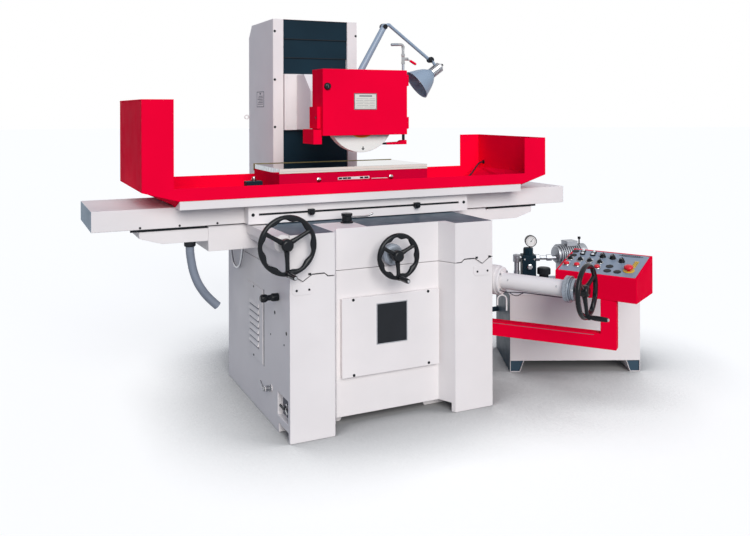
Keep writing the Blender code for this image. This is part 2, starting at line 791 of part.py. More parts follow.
def handwheel_shapes(centre, radius, shaft_end):
    """A three-spoked handwheel about the Y axis, its shaft going back to shaft_end."""
    x, y, z = centre
    profile = ((0, 0), (HUB_RADIUS - 0.007, 0), (HUB_RADIUS, 0.006), (HUB_RADIUS, HUB_LENGTH - 0.010),
               (HUB_RADIUS - 0.005, HUB_LENGTH), (0, HUB_LENGTH))
    hub = lathe(profile, 20, "Y", (x, y - HUB_FRONT, z))
    shaft = cylinder((x, y, z), (x, shaft_end, z), SHAFT_RADIUS, 16)
    shapes = [scalloped_rim(centre, radius, RIM_RADIUS), hub, shaft]
    for angle in SPOKE_ANGLES:
        lean = math.radians(angle)
        near = Vector((x + 0.018 * math.cos(lean), y + 0.012, z + 0.018 * math.sin(lean)))
        far = Vector((x + (radius - 0.002) * math.cos(lean), y, z + (radius - 0.002) * math.sin(lean)))
        shapes.append(cylinder(near, far, SPOKE_RADIUS, 8))
    low = z - radius
    boss = cylinder((x, y - GRIP_START, low), (x, y + 0.008, low), CRANK_BOSS_RADIUS, 12)
    end = y - GRIP_START - GRIP_LENGTH - 0.004
    pin = cylinder((x, y, low), (x, end + 0.002, low), PIN_RADIUS, 10)
    head = cylinder((x, end + PIN_HEAD_THICK, low), (x, end, low), PIN_HEAD_RADIUS, 12)
    return shapes + [boss, pin, head]


def grip(name, centre, radius, parent):
    """The turning grip on a handwheel's crank pin, with a pocket for the pin's head."""
    x, y, z = centre
    start = y - GRIP_START - GAP
    bore = PIN_RADIUS + GAP
    pocket = PIN_HEAD_RADIUS + 0.0007
    neck = GRIP_RADIUS - 0.002
    end = GRIP_LENGTH - 0.002
    profile = ((bore, 0), (neck, 0), (GRIP_RADIUS, 0.012), (GRIP_RADIUS, end - 0.016), (neck, end),
               (pocket, end), (pocket, end - 0.006), (bore, end - 0.006))
    shape = lathe(profile, 14, "-Y", (x, start, z - radius))
    return solid(name, [shape], parent, black_plastic(), origin=(x, start, z - radius))


def table_handwheel(saddle):
    centre = (TABLE_WHEEL_X, TABLE_WHEEL_Y, TABLE_WHEEL_Z)
    shapes = handwheel_shapes(centre, TABLE_WHEEL_RADIUS, 0.15)
    wheel = solid("table_handwheel", shapes, saddle, black_plastic(), origin=centre)
    grip("table_handwheel_grip", centre, TABLE_WHEEL_RADIUS, saddle)
    return wheel


def cross_handwheel(saddle):
    centre = (CROSS_WHEEL_X, CROSS_WHEEL_Y, CROSS_WHEEL_Z)
    shapes = handwheel_shapes(centre, CROSS_WHEEL_RADIUS, RECESS_DEPTH - 0.004)
    thick = CROSS_DIAL_THICK
    edge = CROSS_DIAL_RADIUS
    profile = ((0, 0), (edge - 0.008, 0), (edge, 0.010), (edge, thick), (0, thick))
    dial = lathe(profile, 28, "Y", (CROSS_WHEEL_X, RECESS_DEPTH - CROSS_BOSS - GAP - thick, CROSS_WHEEL_Z))
    wheel = solid("cross_handwheel", shapes + [dial], saddle, black_plastic(), origin=centre)
    grip("cross_handwheel_grip", centre, CROSS_WHEEL_RADIUS, saddle)
    return wheel


def cross_feed_screw(saddle):
    centre = (CROSS_WHEEL_X, RECESS_DEPTH - 0.0025, CROSS_WHEEL_Z)
    shape = cylinder(centre, (CROSS_WHEEL_X, CROSS_SCREW_END, CROSS_WHEEL_Z), CROSS_SCREW_RADIUS, 16)
    return solid("cross_feed_screw", [shape], saddle, ground_steel(), origin=centre)


def reversing_lever(saddle):
    origin = (LEVER_X, LEVER_Y, SADDLE_TOP)
    base = SADDLE_TOP + GAP
    foot = LEVER_RADIUS + 0.004
    profile = ((0, base - 0.010), (LEVER_STEM, base - 0.010), (LEVER_STEM, base), (foot, base),
               (foot, base + 0.008), (LEVER_RADIUS, base + 0.012), (LEVER_RADIUS, base + 0.040),
               (LEVER_RADIUS - 0.005, base + 0.045), (0, base + 0.045))
    post = lathe(profile, 24, "Z", (LEVER_X, LEVER_Y, 0))
    height = base + 0.026
    end = LEVER_X + LEVER_REACH
    bar = cylinder((LEVER_X, LEVER_Y, height), (end - 0.03, LEVER_Y, height), LEVER_ROD, 8)
    tip = cylinder((end - 0.032, LEVER_Y, height - 0.002), (end, LEVER_Y, height + 0.010), LEVER_ROD, 8)
    return solid("reversing_lever", [post, bar, tip], saddle, black_plastic(), origin=origin)


def table_cylinder(saddle):
    bore = ROD_RADIUS + ROD_CLEARANCE
    tube = CYLINDER_RADIUS
    collar = DRIVE_Z - DRIVE_GROOVE_BOTTOM - GAP
    end = CYLINDER_HALF
    profile = ((bore, -end), (collar, -end), (collar, 0.04 - end), (tube, 0.04 - end),
               (tube, end - 0.04), (collar, end - 0.04), (collar, end), (bore, end))
    shape = lathe(profile, 24, "X", (0, DRIVE_Y, DRIVE_Z))
    return solid("table_cylinder", [shape], saddle, bright_steel())


# ---------------------------------------------------------------- table and what it carries


def table_casting(table):
    near, far = DRIVE_Y - TABLE_CHANNEL[0], DRIVE_Y + TABLE_CHANNEL[0]
    roof = TABLE_CHANNEL[1]
    outline = [(TABLE_FRONT, TABLE_BOTTOM), (TABLE_FRONT, TABLE_TOP), (TABLE_BACK, TABLE_TOP),
               (TABLE_BACK, TABLE_BOTTOM), (far, TABLE_BOTTOM), (far, roof), (near, roof),
               (near, TABLE_BOTTOM)]
    body = prism(outline, "X", -TABLE_HALF, TABLE_HALF)
    rod = cylinder((-ROD_END, DRIVE_Y, DRIVE_Z), (ROD_END, DRIVE_Y, DRIVE_Z), ROD_RADIUS, 16)
    low, high = TABLE_WAY_Y
    apex = SADDLE_TOP + TABLE_WAY_RISE + GAP * 1.2
    foot = TABLE_BOTTOM - 0.01
    v_half = (apex - foot) * TABLE_WAY_HALF / TABLE_WAY_RISE
    end = WAY_GROOVE_END
    v_way = prism([(low - v_half, foot), (low, apex), (low + v_half, foot)], "X", -end, end)
    flat_way = block((-end, high - TABLE_WAY_HALF - 0.003, foot),
                     (end, high + TABLE_WAY_HALF + 0.003, SADDLE_TOP + FLAT_WAY_RISE + GAP))
    shapes = [body, rod, rod_bracket(-1), rod_bracket(1), channel_end(-1), channel_end(1)]
    return solid("table_casting", shapes, table, white_paint(), cuts=[v_way, flat_way])


def channel_end(side):
    """The solid end of the channel that runs under the table over its cylinder."""
    half, roof = TABLE_CHANNEL
    ends = sorted((side * (ROD_END - 0.030), side * (TABLE_HALF - 0.002)))
    side = half + 0.005
    return block((ends[0], DRIVE_Y - side, TABLE_BOTTOM + 0.0005), (ends[1], DRIVE_Y + side, roof + 0.01))


def rod_bracket(side):
    """The bracket under each end of the table that the piston rod is bolted to."""
    ends = sorted((side * (ROD_END - 0.035), side * (ROD_END + 0.005)))
    return block((ends[0], DRIVE_Y - BRACKET_HALF, BRACKET_BOTTOM),
                 (ends[1], DRIVE_Y + BRACKET_HALF, TABLE_BOTTOM + 0.045))


def dog_rail(table):
    back = TABLE_FRONT - GAP
    plate = block((-RAIL_HALF, RAIL_FRONT, TABLE_BOTTOM), (RAIL_HALF, back, RAIL_TOP))
    slot = block((-SLOT_HALF, RAIL_FRONT - 0.1, SLOT_Z - SLOT_WIDTH / 2),
                 (SLOT_HALF, RAIL_FRONT + SLOT_DEPTH, SLOT_Z + SLOT_WIDTH / 2))
    return solid("dog_rail", [plate], table, white_paint(), cuts=[slot])


def trip_dog(name, x, table):
    front = RAIL_FRONT - GAP
    key = block((x - DOG_WIDTH / 2 + 0.002, front - 0.002, SLOT_Z - SLOT_WIDTH / 2 + GAP),
                (x + DOG_WIDTH / 2 - 0.002, RAIL_FRONT + SLOT_DEPTH - GAP, SLOT_Z + SLOT_WIDTH / 2 - GAP))
    half, tall = DOG_WIDTH / 2, DOG_HEIGHT / 2
    low = SLOT_Z - tall
    top = SLOT_Z + tall
    outline = [(x - half, low + tall / 2), (x - half / 2, low), (x + half / 2, low),
               (x + half, low + tall / 2), (x + half, top), (x - half, top)]
    body = prism(outline, "Y", front - DOG_DEPTH, front)
    face = front - DOG_DEPTH
    screw = cylinder((x, face - 0.006, SLOT_Z), (x, face + 0.004, SLOT_Z), 0.008, 12)
    return solid(name, [body, key, screw], table, black_plastic(), origin=(x, front, SLOT_Z))


def splash_guard(table):
    sheet = GUARD_SHEET
    floor_z = TABLE_TOP + GAP
    knee = TROUGH_KNEE
    shapes = [block((-knee - 0.004, TABLE_FRONT, floor_z), (knee + 0.004, TROUGH_BACK, floor_z + sheet))]
    for side, end in ((-1, TROUGH_LEFT), (1, TROUGH_RIGHT)):
        ramp = [(side * knee, floor_z), (end, TROUGH_END_Z), (end, TROUGH_END_Z + 1.3 * sheet),
                (side * knee, floor_z + sheet)]
        shapes.append(prism(ramp, "Y", TROUGH_FRONT, TROUGH_BACK))
    back = TABLE_FRONT + 0.002
    front_edge = [(back, floor_z), (TROUGH_FRONT, TROUGH_LIP_Z), (TROUGH_FRONT, TROUGH_LIP_Z + 1.2 * sheet),
                  (back, floor_z + sheet)]
    shapes.append(prism(front_edge, "X", -knee - 0.010, knee + 0.010))
    rim = [(TROUGH_LEFT, TROUGH_END_Z), (-knee - 0.006, TROUGH_LIP_Z), (knee + 0.006, TROUGH_LIP_Z),
           (TROUGH_RIGHT, TROUGH_END_Z), (TROUGH_RIGHT, TROUGH_RIM), (TROUGH_LEFT, TROUGH_RIM)]
    shapes.append(prism(rim, "Y", TROUGH_FRONT - 0.001, TROUGH_FRONT + sheet - 0.001))
    rear = [(TROUGH_LEFT, TROUGH_END_Z), (-knee, floor_z), (knee, floor_z), (TROUGH_RIGHT, TROUGH_END_Z),
            (TROUGH_RIGHT, TROUGH_RIM), (TROUGH_LEFT, TROUGH_RIM)]
    shapes.append(prism(rear, "Y", TROUGH_BACK - sheet + 0.001, TROUGH_BACK + 0.001))
    for side, end, top in ((-1, TROUGH_LEFT, LEFT_SCREEN_TOP), (1, TROUGH_RIGHT, RIGHT_SCREEN_TOP)):
        face = end + side * 0.001
        low, high = sorted((face, end - side * sheet))
        shapes.append(block((low, TROUGH_FRONT - 0.001, TROUGH_END_Z + 0.001),
                            (high, TROUGH_BACK + 0.001, top)))
        low, high = sorted((face, end - side * RETURN_WIDTH))
        for y in (TROUGH_FRONT - 0.0012, TROUGH_BACK - sheet + 0.0012):
            shapes.append(block((low, y, TROUGH_RIM - 0.006), (high, y + sheet, top)))
    hole = block((-CHUCK_HALF - CHUCK_FLOOR_GAP, CHUCK_FRONT - CHUCK_FLOOR_GAP, TABLE_TOP - 0.1),
                 (CHUCK_HALF + CHUCK_FLOOR_GAP, CHUCK_BACK + CHUCK_FLOOR_GAP, TABLE_TOP + 0.02))
    _, y, z = CABLE_ROUTE[0]
    eye = cylinder((TROUGH_RIGHT - 0.02, y, z), (TROUGH_RIGHT + 0.02, y, z), CABLE_RADIUS + 2 * GAP, 16)
    return solid("splash_guard", shapes, table, red_paint(), cuts=[hole, eye])


def cable_gland():
    """The gland on the chuck's right end that the cable comes out of."""
    _, y, z = CABLE_ROUTE[-1]
    return cylinder((CHUCK_HALF - 0.002, y, z), (CABLE_ROUTE[-1][0] - 2 * GAP, y, z), 0.009, 14)


def chuck_body(table):
    top = CHUCK_TOP - CHUCK_PLATE
    body = block((-CHUCK_HALF, CHUCK_FRONT, TABLE_TOP + GAP), (CHUCK_HALF, CHUCK_BACK, top))
    return solid("chuck_body", [body, cable_gland()], table, red_paint())


def chuck_top_plate(table):
    low = CHUCK_TOP - CHUCK_PLATE + GAP
    plate = block((-CHUCK_HALF, CHUCK_FRONT, low), (CHUCK_HALF, CHUCK_BACK, CHUCK_TOP))
    return solid("chuck_top_plate", [plate], table, ground_steel())


# ---------------------------------------------------------------- column and way covers


def column_casting(root):
    bottom = BASE_TOP - SEAM + GAP
    outline = [(COLUMN_FRONT, bottom), (COLUMN_BACK, bottom), (COLUMN_BACK, COLUMN_CHAMFER_Z),
               (COLUMN_TOP_BACK, COLUMN_TOP), (COLUMN_FRONT, COLUMN_TOP)]
    body = prism(outline, "X", -COLUMN_HALF, COLUMN_HALF)
    inner = COLUMN_HALF - COLUMN_WALL
    roof = COLUMN_TOP - COLUMN_LID
    near, far = COLUMN_FRONT + COLUMN_WALL, COLUMN_BACK - COLUMN_WALL
    ceiling = COLUMN_TOP - COLUMN_WALL
    room = prism([(near, bottom - 0.1), (far, bottom - 0.1), (far, COLUMN_CHAMFER_Z - 0.02),
                  (COLUMN_TOP_BACK - 0.02, ceiling), (near, ceiling)], "X", -inner, inner)
    mouth = block((-COLUMN_MOUTH, COLUMN_FRONT - 0.1, bottom - 0.1), (COLUMN_MOUTH, near + 0.01, roof))
    return solid("column_casting", [body], root, white_paint(), cuts=[room, mouth])


def cover_plate(number, bottom, top):
    """A sliding way cover in the column's mouth; number 0 is the front one."""
    front = COVER_FRONT + number * COVER_PITCH
    half = COLUMN_MOUTH - COVER_SIDE_GAP
    return block((-half, front, bottom), (half, front + COVER_SHEET, top))


def way_cover_top(root):
    bottom, top = TOP_COVER_Z
    return solid("way_cover_top", [cover_plate(0, bottom, top)], root, slate_paint())


def way_cover_middle(root):
    bottom, top = MIDDLE_COVER_Z
    return solid("way_cover_middle", [cover_plate(1, bottom, top)], root, slate_paint())


def way_cover_lower(head):
    plate = cover_plate(0, LOWER_COVER_BOTTOM, HEAD_BOTTOM - GAP)
    return solid("way_cover_lower", [plate], head, slate_paint())


# ---------------------------------------------------------------- wheelhead


def wheelhead_casting(head):
    mouth = COLUMN_MOUTH - COVER_SIDE_GAP
    inner = COLUMN_HALF - COLUMN_WALL - GAP
    back_face = COLUMN_FRONT + COLUMN_WALL + GAP
    neck = block((-mouth, HEAD_FRONT, HEAD_BOTTOM), (mouth, back_face + 0.02, HEAD_TOP))
    slide = block((-inner, back_face, HEAD_BOTTOM + 0.001), (inner, SLIDE_BACK, HEAD_TOP - 0.001))
    low, high = HEAD_BOTTOM + 0.003, HEAD_TOP - 0.005
    outline = [(SNOUT_STEP, low), (HEAD_FRONT + 0.01, low), (HEAD_FRONT + 0.01, high), (SNOUT_SLOPE_Y, high),
               (SNOUT_STEP, SNOUT_SLOPE_Z)]
    neck_block = prism(outline, "X", -SNOUT_HALF, SNOUT_HALF)
    snout = lathe(((0, 0), (SNOUT_RADIUS, 0), (SNOUT_RADIUS, 0.30), (0, 0.30)), 40, "Y",
                  (0, HOOD_BACK + GAP, SPINDLE_Z))
    lamp_seat = cylinder((LAMP_X, LAMP_Y, SPINDLE_Z), (LAMP_X, LAMP_Y, LAMP_SEAT_Z),
                         LAMP_FOOT_RADIUS + 0.003, 20)
    bore = cylinder((0, HOOD_BACK - 0.1, SPINDLE_Z), (0, SLIDE_BACK + 0.1, SPINDLE_Z),
                    SPINDLE_RADIUS + SPINDLE_CLEARANCE, 28)
    nut = cylinder((SCREW_X, SCREW_Y, HEAD_BOTTOM - 0.1), (SCREW_X, SCREW_Y, HEAD_TOP + 0.1),
                   SCREW_RADIUS + SCREW_CLEARANCE, 20)
    socket = cylinder((LAMP_X, LAMP_Y, LAMP_SEAT_Z - 0.020), (LAMP_X, LAMP_Y, LAMP_SEAT_Z + 0.1),
                      LAMP_PIN_RADIUS + ROD_CLEARANCE, 14)
    apron = cover_plate(2, HEAD_TOP - 0.01, HEAD_COVER_TOP)
    shapes = [neck, slide, neck_block, snout, lamp_seat, apron]
    return solid("wheelhead_casting", shapes, head, white_paint(), cuts=[bore, nut, socket])


def spindle_motor(head):
    start = SLIDE_BACK + GAP
    bore = SPINDLE_RADIUS + SPINDLE_CLEARANCE
    end = MOTOR_LENGTH
    profile = ((bore, 0), (MOTOR_RADIUS, 0), (MOTOR_RADIUS, 0.012), (MOTOR_RADIUS - 0.010, 0.012),
               (MOTOR_RADIUS - 0.010, end - 0.03), (MOTOR_RADIUS - 0.025, end), (bore, end))
    shape = lathe(profile, 28, "Y", (0, start, SPINDLE_Z))
    return solid("spindle_motor", [shape], head, slate_paint())


def spindle(head):
    rear = WHEEL_FRONT + WHEEL_WIDTH + GAP
    bore = WHEEL_BORE - GAP
    front = WHEEL_FRONT - GAP
    end = SLIDE_BACK + MOTOR_LENGTH - 0.02
    profile = ((0, front - FLANGE_THICK - NUT_THICK), (NUT_RADIUS, front - FLANGE_THICK - NUT_THICK),
               (NUT_RADIUS, front - FLANGE_THICK), (FLANGE_RADIUS - 0.006, front - FLANGE_THICK),
               (FLANGE_RADIUS, front - FLANGE_THICK + 0.006), (FLANGE_RADIUS, front), (bore, front),
               (bore, rear), (FLANGE_RADIUS, rear), (FLANGE_RADIUS, rear + FLANGE_THICK - 0.004),
               (SPINDLE_BOSS_RADIUS, rear + FLANGE_THICK), (SPINDLE_BOSS_RADIUS, HOOD_BACK - 0.012),
               (SPINDLE_RADIUS, HOOD_BACK - 0.008),
               (SPINDLE_RADIUS, end), (0, end))
    shape = lathe(profile, 28, "Y", (0, 0, SPINDLE_Z))
    return solid("spindle", [shape], head, ground_steel(), origin=(0, WHEEL_FRONT, SPINDLE_Z))


def grinding_wheel(head):
    profile = ((WHEEL_BORE, 0), (WHEEL_RADIUS, 0), (WHEEL_RADIUS, WHEEL_WIDTH), (WHEEL_BORE, WHEEL_WIDTH))
    shape = lathe(profile, 60, "Y", (0, WHEEL_FRONT, SPINDLE_Z))
    return solid("grinding_wheel", [shape], head, abrasive(), origin=(0, WHEEL_FRONT, SPINDLE_Z))


def hinge_half(low, high, leaf):
    """One half of a hinge: a knuckle, and the leaf that joins it to its sheet."""
    knuckle = cylinder((HINGE_X, HINGE_Y, low), (HINGE_X, HINGE_Y, high), HINGE_RADIUS, 14)
    return [knuckle] + leaf


def guard_housing(head):
    sheet = HOOD_SHEET
    shell = block((HOOD_LEFT, HOOD_FRONT, HOOD_BOTTOM), (HOOD_RIGHT, HOOD_BACK, HOOD_TOP))
    room = block((HOOD_LEFT + sheet, HOOD_FRONT - 0.1, HOOD_BOTTOM - 0.1),
                 (HOOD_RIGHT - sheet, HOOD_BACK - sheet, HOOD_TOP - sheet))
    shaft = cylinder((0, HOOD_BACK - 0.1, SPINDLE_Z), (0, HOOD_BACK + 0.1, SPINDLE_Z), HOOD_BORE, 24)
    left, front, back, low, high = LUG
    lug = block((left, front, low), (HOOD_LEFT + 0.003, back, high))
    left, front, back, low, high = SPARK_BOX
    spark = block((left, front + 0.016, low), (HOOD_LEFT + 0.003, back, high))
    shapes = [shell, lug, spark]
    for low, high in HINGES:
        middle = (low + high) / 2 - GAP / 2
        arm = block((HOOD_RIGHT + GAP, HINGE_Y + 0.0015, low + 0.001),
                    (HINGE_X, HINGE_Y + 0.019, middle - 0.001))
        root_leaf = block((HOOD_RIGHT - 0.0025, HOOD_FRONT + GAP, low + 0.002),
                          (HINGE_X - 0.001, HINGE_Y + 0.020, middle - 0.002))
        shapes += hinge_half(low, middle, [arm, root_leaf])
    clip = block((HOOD_RIGHT - 0.002, PIPE_Y - 0.010, PIPE_CLIP_Z[0]),
                 (PIPE_X - PIPE_RADIUS - GAP, PIPE_Y + 0.010, PIPE_CLIP_Z[1]))
    return solid("guard_housing", shapes + [clip], head, red_paint(), cuts=[room, shaft])


def guard_door(head):
    origin = (HINGE_X, HINGE_Y, HOOD_BOTTOM)
    sheet = DOOR_SHEET
    shell = block((HOOD_LEFT, DOOR_FRONT, HOOD_BOTTOM), (HOOD_RIGHT, DOOR_BACK, HOOD_TOP))
    room = block((HOOD_LEFT + sheet, DOOR_FRONT + sheet, HOOD_BOTTOM - 0.1),
                 (HOOD_RIGHT - sheet, DOOR_BACK + 0.1, HOOD_TOP - sheet))
    shapes = [shell]
    for low, high in HINGES:
        middle = (low + high) / 2 + GAP / 2
        leaf = block((HOOD_RIGHT - 0.002, HINGE_Y - HINGE_RADIUS, middle), (HINGE_X, HINGE_Y - 0.0015, high))
        shapes += hinge_half(middle, high, [leaf])
    x, z, _ = LATCH
    hole = cylinder((x, DOOR_FRONT - 0.1, z), (x, DOOR_BACK + 0.1, z), LATCH_STEM + GAP, 14)
    return solid("guard_door", shapes, head, red_paint(), origin=origin, cuts=[room, hole])


def door_latch(head):
    x, z, radius = LATCH
    front = DOOR_FRONT - GAP
    profile = ((0, -0.013), (radius - 0.003, -0.013), (radius, -0.010), (radius, 0), (LATCH_STEM, 0),
               (LATCH_STEM, 0.013), (0, 0.013))
    knob = lathe(profile, 24, "Y", (x, front, z))
    return solid("door_latch", [knob], head, black_plastic(), origin=(x, front, z))


def coolant_pipe(head):
    x, y, r = PIPE_X, PIPE_Y, PIPE_RADIUS
    riser = cylinder((x, y, NOZZLE_Z), (x, y, PIPE_TOP), r, 14)
    valve = cylinder((x, y, VALVE_Z - 0.026), (x, y, VALVE_Z + 0.026), r + 0.0045, 14)
    elbow = cylinder((x + r, y, PIPE_TOP), (x - 0.062, y, PIPE_TOP - 0.004), r, 14)
    boss = cylinder((x, y, VALVE_Z), (x + 0.022, y, VALVE_Z), 0.008, 12)
    low = NOZZLE_Z - 0.010
    outline = [(NOZZLE_TIP, low), (x + 0.012, low), (x + 0.012, NOZZLE_Z + 0.012),
               (x - 0.024, NOZZLE_Z + 0.010), (x - 0.034, NOZZLE_Z), (NOZZLE_TIP, NOZZLE_Z - 0.004)]
    nozzle = prism(outline, "Y", y - 0.015, y + 0.015)
    return solid("coolant_pipe", [riser, valve, elbow, boss, nozzle], head, bright_steel())


def coolant_lever(head):
    x = PIPE_X + 0.022 + GAP
    plate = cylinder((x, PIPE_Y, VALVE_Z), (x + 0.006, PIPE_Y, VALVE_Z), 0.008, 12)
    handle = cylinder((x + 0.003, PIPE_Y, VALVE_Z), (x + 0.050, PIPE_Y, VALVE_Z - 0.026), 0.0055, 10)
    return solid("coolant_lever", [plate, handle], head, red_paint(), origin=(x, PIPE_Y, VALVE_Z))


# ---------------------------------------------------------------- lamp


def lamp_lower_arm(head):
    foot_z = LAMP_SEAT_Z + GAP
    elbow = Vector((LAMP_ELBOW[0], LAMP_Y, LAMP_ELBOW[1]))
    pin = LAMP_PIN_RADIUS
    profile = ((0, foot_z - 0.016), (pin, foot_z - 0.016), (pin, foot_z), (LAMP_FOOT_RADIUS, foot_z),
               (LAMP_FOOT_RADIUS, foot_z + 0.020), (0.012, foot_z + 0.030), (0, foot_z + 0.034))
    foot = lathe(profile, 20, "Z", (LAMP_X, LAMP_Y, 0))
    start = Vector((LAMP_X, LAMP_Y, LAMP_PIVOT_Z - 0.010))
    arm = cylinder(start, elbow, LAMP_LOWER_RADIUS, 14)
    knuckle = cylinder(elbow + Vector((0, -0.013, 0)), elbow, LAMP_KNUCKLE, 18)
    clear = cylinder(elbow, elbow + Vector((0, 0.05, 0)), 0.030, 18)
    origin = (LAMP_X, LAMP_Y, LAMP_PIVOT_Z)
    return solid("lamp_lower_arm", [foot, arm, knuckle], head, lamp_grey(), origin=origin, cuts=[clear])


def lamp_upper_arm(head):
    elbow = Vector((LAMP_ELBOW[0], LAMP_Y, LAMP_ELBOW[1]))
    side = Vector((0, 0.012, 0))
    joint = Vector((LAMP_JOINT[0], LAMP_Y, LAMP_JOINT[1]))
    knuckle = cylinder(elbow + Vector((0, GAP, 0)), elbow + 2 * side, LAMP_KNUCKLE, 18)
    bend = elbow + side + Vector((0.035, 0, 0.012))
    first = cylinder(elbow + side, bend, LAMP_UPPER_RADIUS + 0.002, 12)
    arm = cylinder(bend, joint + side, LAMP_UPPER_RADIUS, 12)
    ball = cylinder(joint + Vector((0, GAP, 0)), joint + 2 * side, 0.014, 16)
    across = Vector((0, 0.010, 0))
    corner = cylinder(bend - across, bend + across, LAMP_UPPER_RADIUS + 0.0025, 12)
    shapes = [knuckle, first, corner, arm, ball]
    return solid("lamp_upper_arm", shapes, head, lamp_grey(), origin=tuple(elbow))


def lamp_head(head):
    joint = Vector((LAMP_JOINT[0], LAMP_Y, LAMP_JOINT[1]))
    aim = Vector(LAMP_AIM).normalized()
    top = joint + Vector((0.060, -0.012, -0.030))
    neck = cylinder(joint + Vector((0, -0.014, 0)), joint, 0.013, 16)
    link = cylinder(joint + Vector((0, -0.0085, 0)), top + 0.030 * aim, 0.0075, 10)
    wall = 0.003
    outer = [(0, 0), (0.014, 0), (0.024, 0.010), (0.026, LAMP_SOCKET), (0.034, LAMP_SOCKET + 0.012),
             (LAMP_SHADE_RADIUS, LAMP_SOCKET + LAMP_SHADE)]
    inner = [(LAMP_SHADE_RADIUS - wall, LAMP_SOCKET + LAMP_SHADE), (0.034 - wall, LAMP_SOCKET + 0.016),
             (0.022, LAMP_SOCKET + 0.006), (0, LAMP_SOCKET + 0.006)]
    shade = lathe(outer + inner, 28, tuple(aim), top)
    return solid("lamp_head", [shade, neck, link], head, lamp_grey(), origin=tuple(joint))


# ---------------------------------------------------------------- elevating gear


def elevating_screw(root):
    top = COLUMN_TOP - COLUMN_WALL - GAP
    origin = (SCREW_X, SCREW_Y, SCREW_FOOT)
    collar = BASE_TOP - SEAM + GAP
    wide = SCREW_COLLAR_RADIUS
    profile = ((0, collar), (wide, collar), (wide, collar + 0.014), (SCREW_RADIUS, collar + 0.018),
               (SCREW_RADIUS, top), (0, top))
    shape = lathe(profile, 20, "Z", (SCREW_X, SCREW_Y, 0))
    return solid("elevating_screw", [shape], root, ground_steel(), origin=origin)


def elevating_tube(lift):
    boss = cylinder((0, 0.06, 0), (0, -LIFT_FLANGE + 0.006, 0), LIFT_BOSS_RADIUS, 28)
    flange = cylinder((0, -LIFT_FLANGE + 0.010, 0), (0, -LIFT_FLANGE - 0.012, 0), LIFT_FLANGE_RADIUS, 28)
    tube = cylinder((0, -LIFT_FLANGE, 0), (0, -LIFT_TUBE_END, 0), LIFT_TUBE_RADIUS, 28)
    bore = cylinder((0, -0.25, 0), (0, -1.0, 0), SHAFT_RADIUS + ROD_CLEARANCE, 18)
    side = Matrix.Rotation(-PENDANT_TURN, 4, "Z")
    wall = block((-0.4, -0.4, -0.2), (GAP, 0.4, 0.2))
    bmesh.ops.transform(wall, matrix=side, verts=wall.verts)
    return solid("elevating_tube", [boss, flange, tube], lift, white_paint(), cuts=[bore, wall])


def elevating_dial(lift):
    bore = SHAFT_RADIUS + GAP
    edge = LIFT_DIAL_RADIUS
    profile = ((bore, 0), (edge - 0.006, 0), (edge, 0.006), (edge, 0.026), (edge - 0.010, 0.028),
               (edge - 0.012, LIFT_DIAL_LENGTH), (bore, LIFT_DIAL_LENGTH))
    start = -LIFT_TUBE_END - GAP
    shape = lathe(profile, 32, "-Y", (0, start, 0))
    return solid("elevating_dial", [shape], lift, bright_steel(), origin=(0, start, 0))


def elevating_handwheel(lift):
    centre = (0, -LIFT_HUB, 0)
    shapes = handwheel_shapes(centre, LIFT_WHEEL_RADIUS, -0.30)
    wheel = solid("elevating_handwheel", shapes, lift, black_plastic(), origin=centre)
    grip("elevating_handwheel_grip", centre, LIFT_WHEEL_RADIUS, lift)
    return wheel


# ---------------------------------------------------------------- control pendant


def panel_arm(root):
    """The L-shaped arm in its own frame: local -Y runs from the base to the post."""
    frame = empty("arm_frame", root, (BASE_HALF, ARM_ROOT_Y, 0), ARM_TURN)
    beam = block((0, -ARM_REACH, ARM_BOTTOM), (ARM_WIDTH, 0.08, ARM_BOTTOM + ARM_HEIGHT))
    post = block((0, -ARM_REACH, ARM_BOTTOM + 0.01),
                 (ARM_WIDTH, -ARM_REACH + POST_WIDTH, PENDANT_BOTTOM - GAP))
    turn = Matrix.Rotation(-ARM_TURN, 4, "Z")
    wall = block((-0.4, -0.4, 0.1), (GAP, 0.4, 0.6))
    bmesh.ops.transform(wall, matrix=turn, verts=wall.verts)
    plate = block((-0.010, -0.060, ARM_BOTTOM - 0.02), (GAP + 0.014, 0.085, ARM_BOTTOM + ARM_HEIGHT + 0.02))
    bmesh.ops.transform(plate, matrix=turn, verts=plate.verts)
    return solid("panel_arm", [beam, post, plate], frame, red_paint(), cuts=[wall])


def pendant_top(x):
    """Height of the pendant's sloping edge at a distance back from its front."""
    return PENDANT_FRONT_TOP + (PENDANT_BACK_TOP - PENDANT_FRONT_TOP) * x / PENDANT_DEPTH


def control_box(pendant):
    outline = [(0, PENDANT_BOTTOM), (PENDANT_DEPTH, PENDANT_BOTTOM), (PENDANT_DEPTH, PENDANT_BACK_TOP),
               (0, PENDANT_FRONT_TOP)]
    body = prism(outline, "Y", 0, PENDANT_LENGTH)
    sink = PANEL_THICK + GAP
    far = PENDANT_DEPTH - PANEL_EDGE
    bed = [(PANEL_EDGE, pendant_top(PANEL_EDGE) - sink), (far, pendant_top(far) - sink), (far, 0.8),
           (PANEL_EDGE, 0.8)]
    recess = prism(bed, "Y", PANEL_EDGE, PENDANT_LENGTH - PANEL_EDGE)
    room = block((PENDANT_WALL, PENDANT_WALL, PENDANT_BOTTOM + 0.040),
                 (PENDANT_DEPTH - PENDANT_WALL, PENDANT_LENGTH - PENDANT_WALL, 0.8))
    return solid("control_box", [body], pendant, red_paint(), cuts=[recess, room])


def panel_lean():
    return -math.atan2(PENDANT_BACK_TOP - PENDANT_FRONT_TOP, PENDANT_DEPTH)


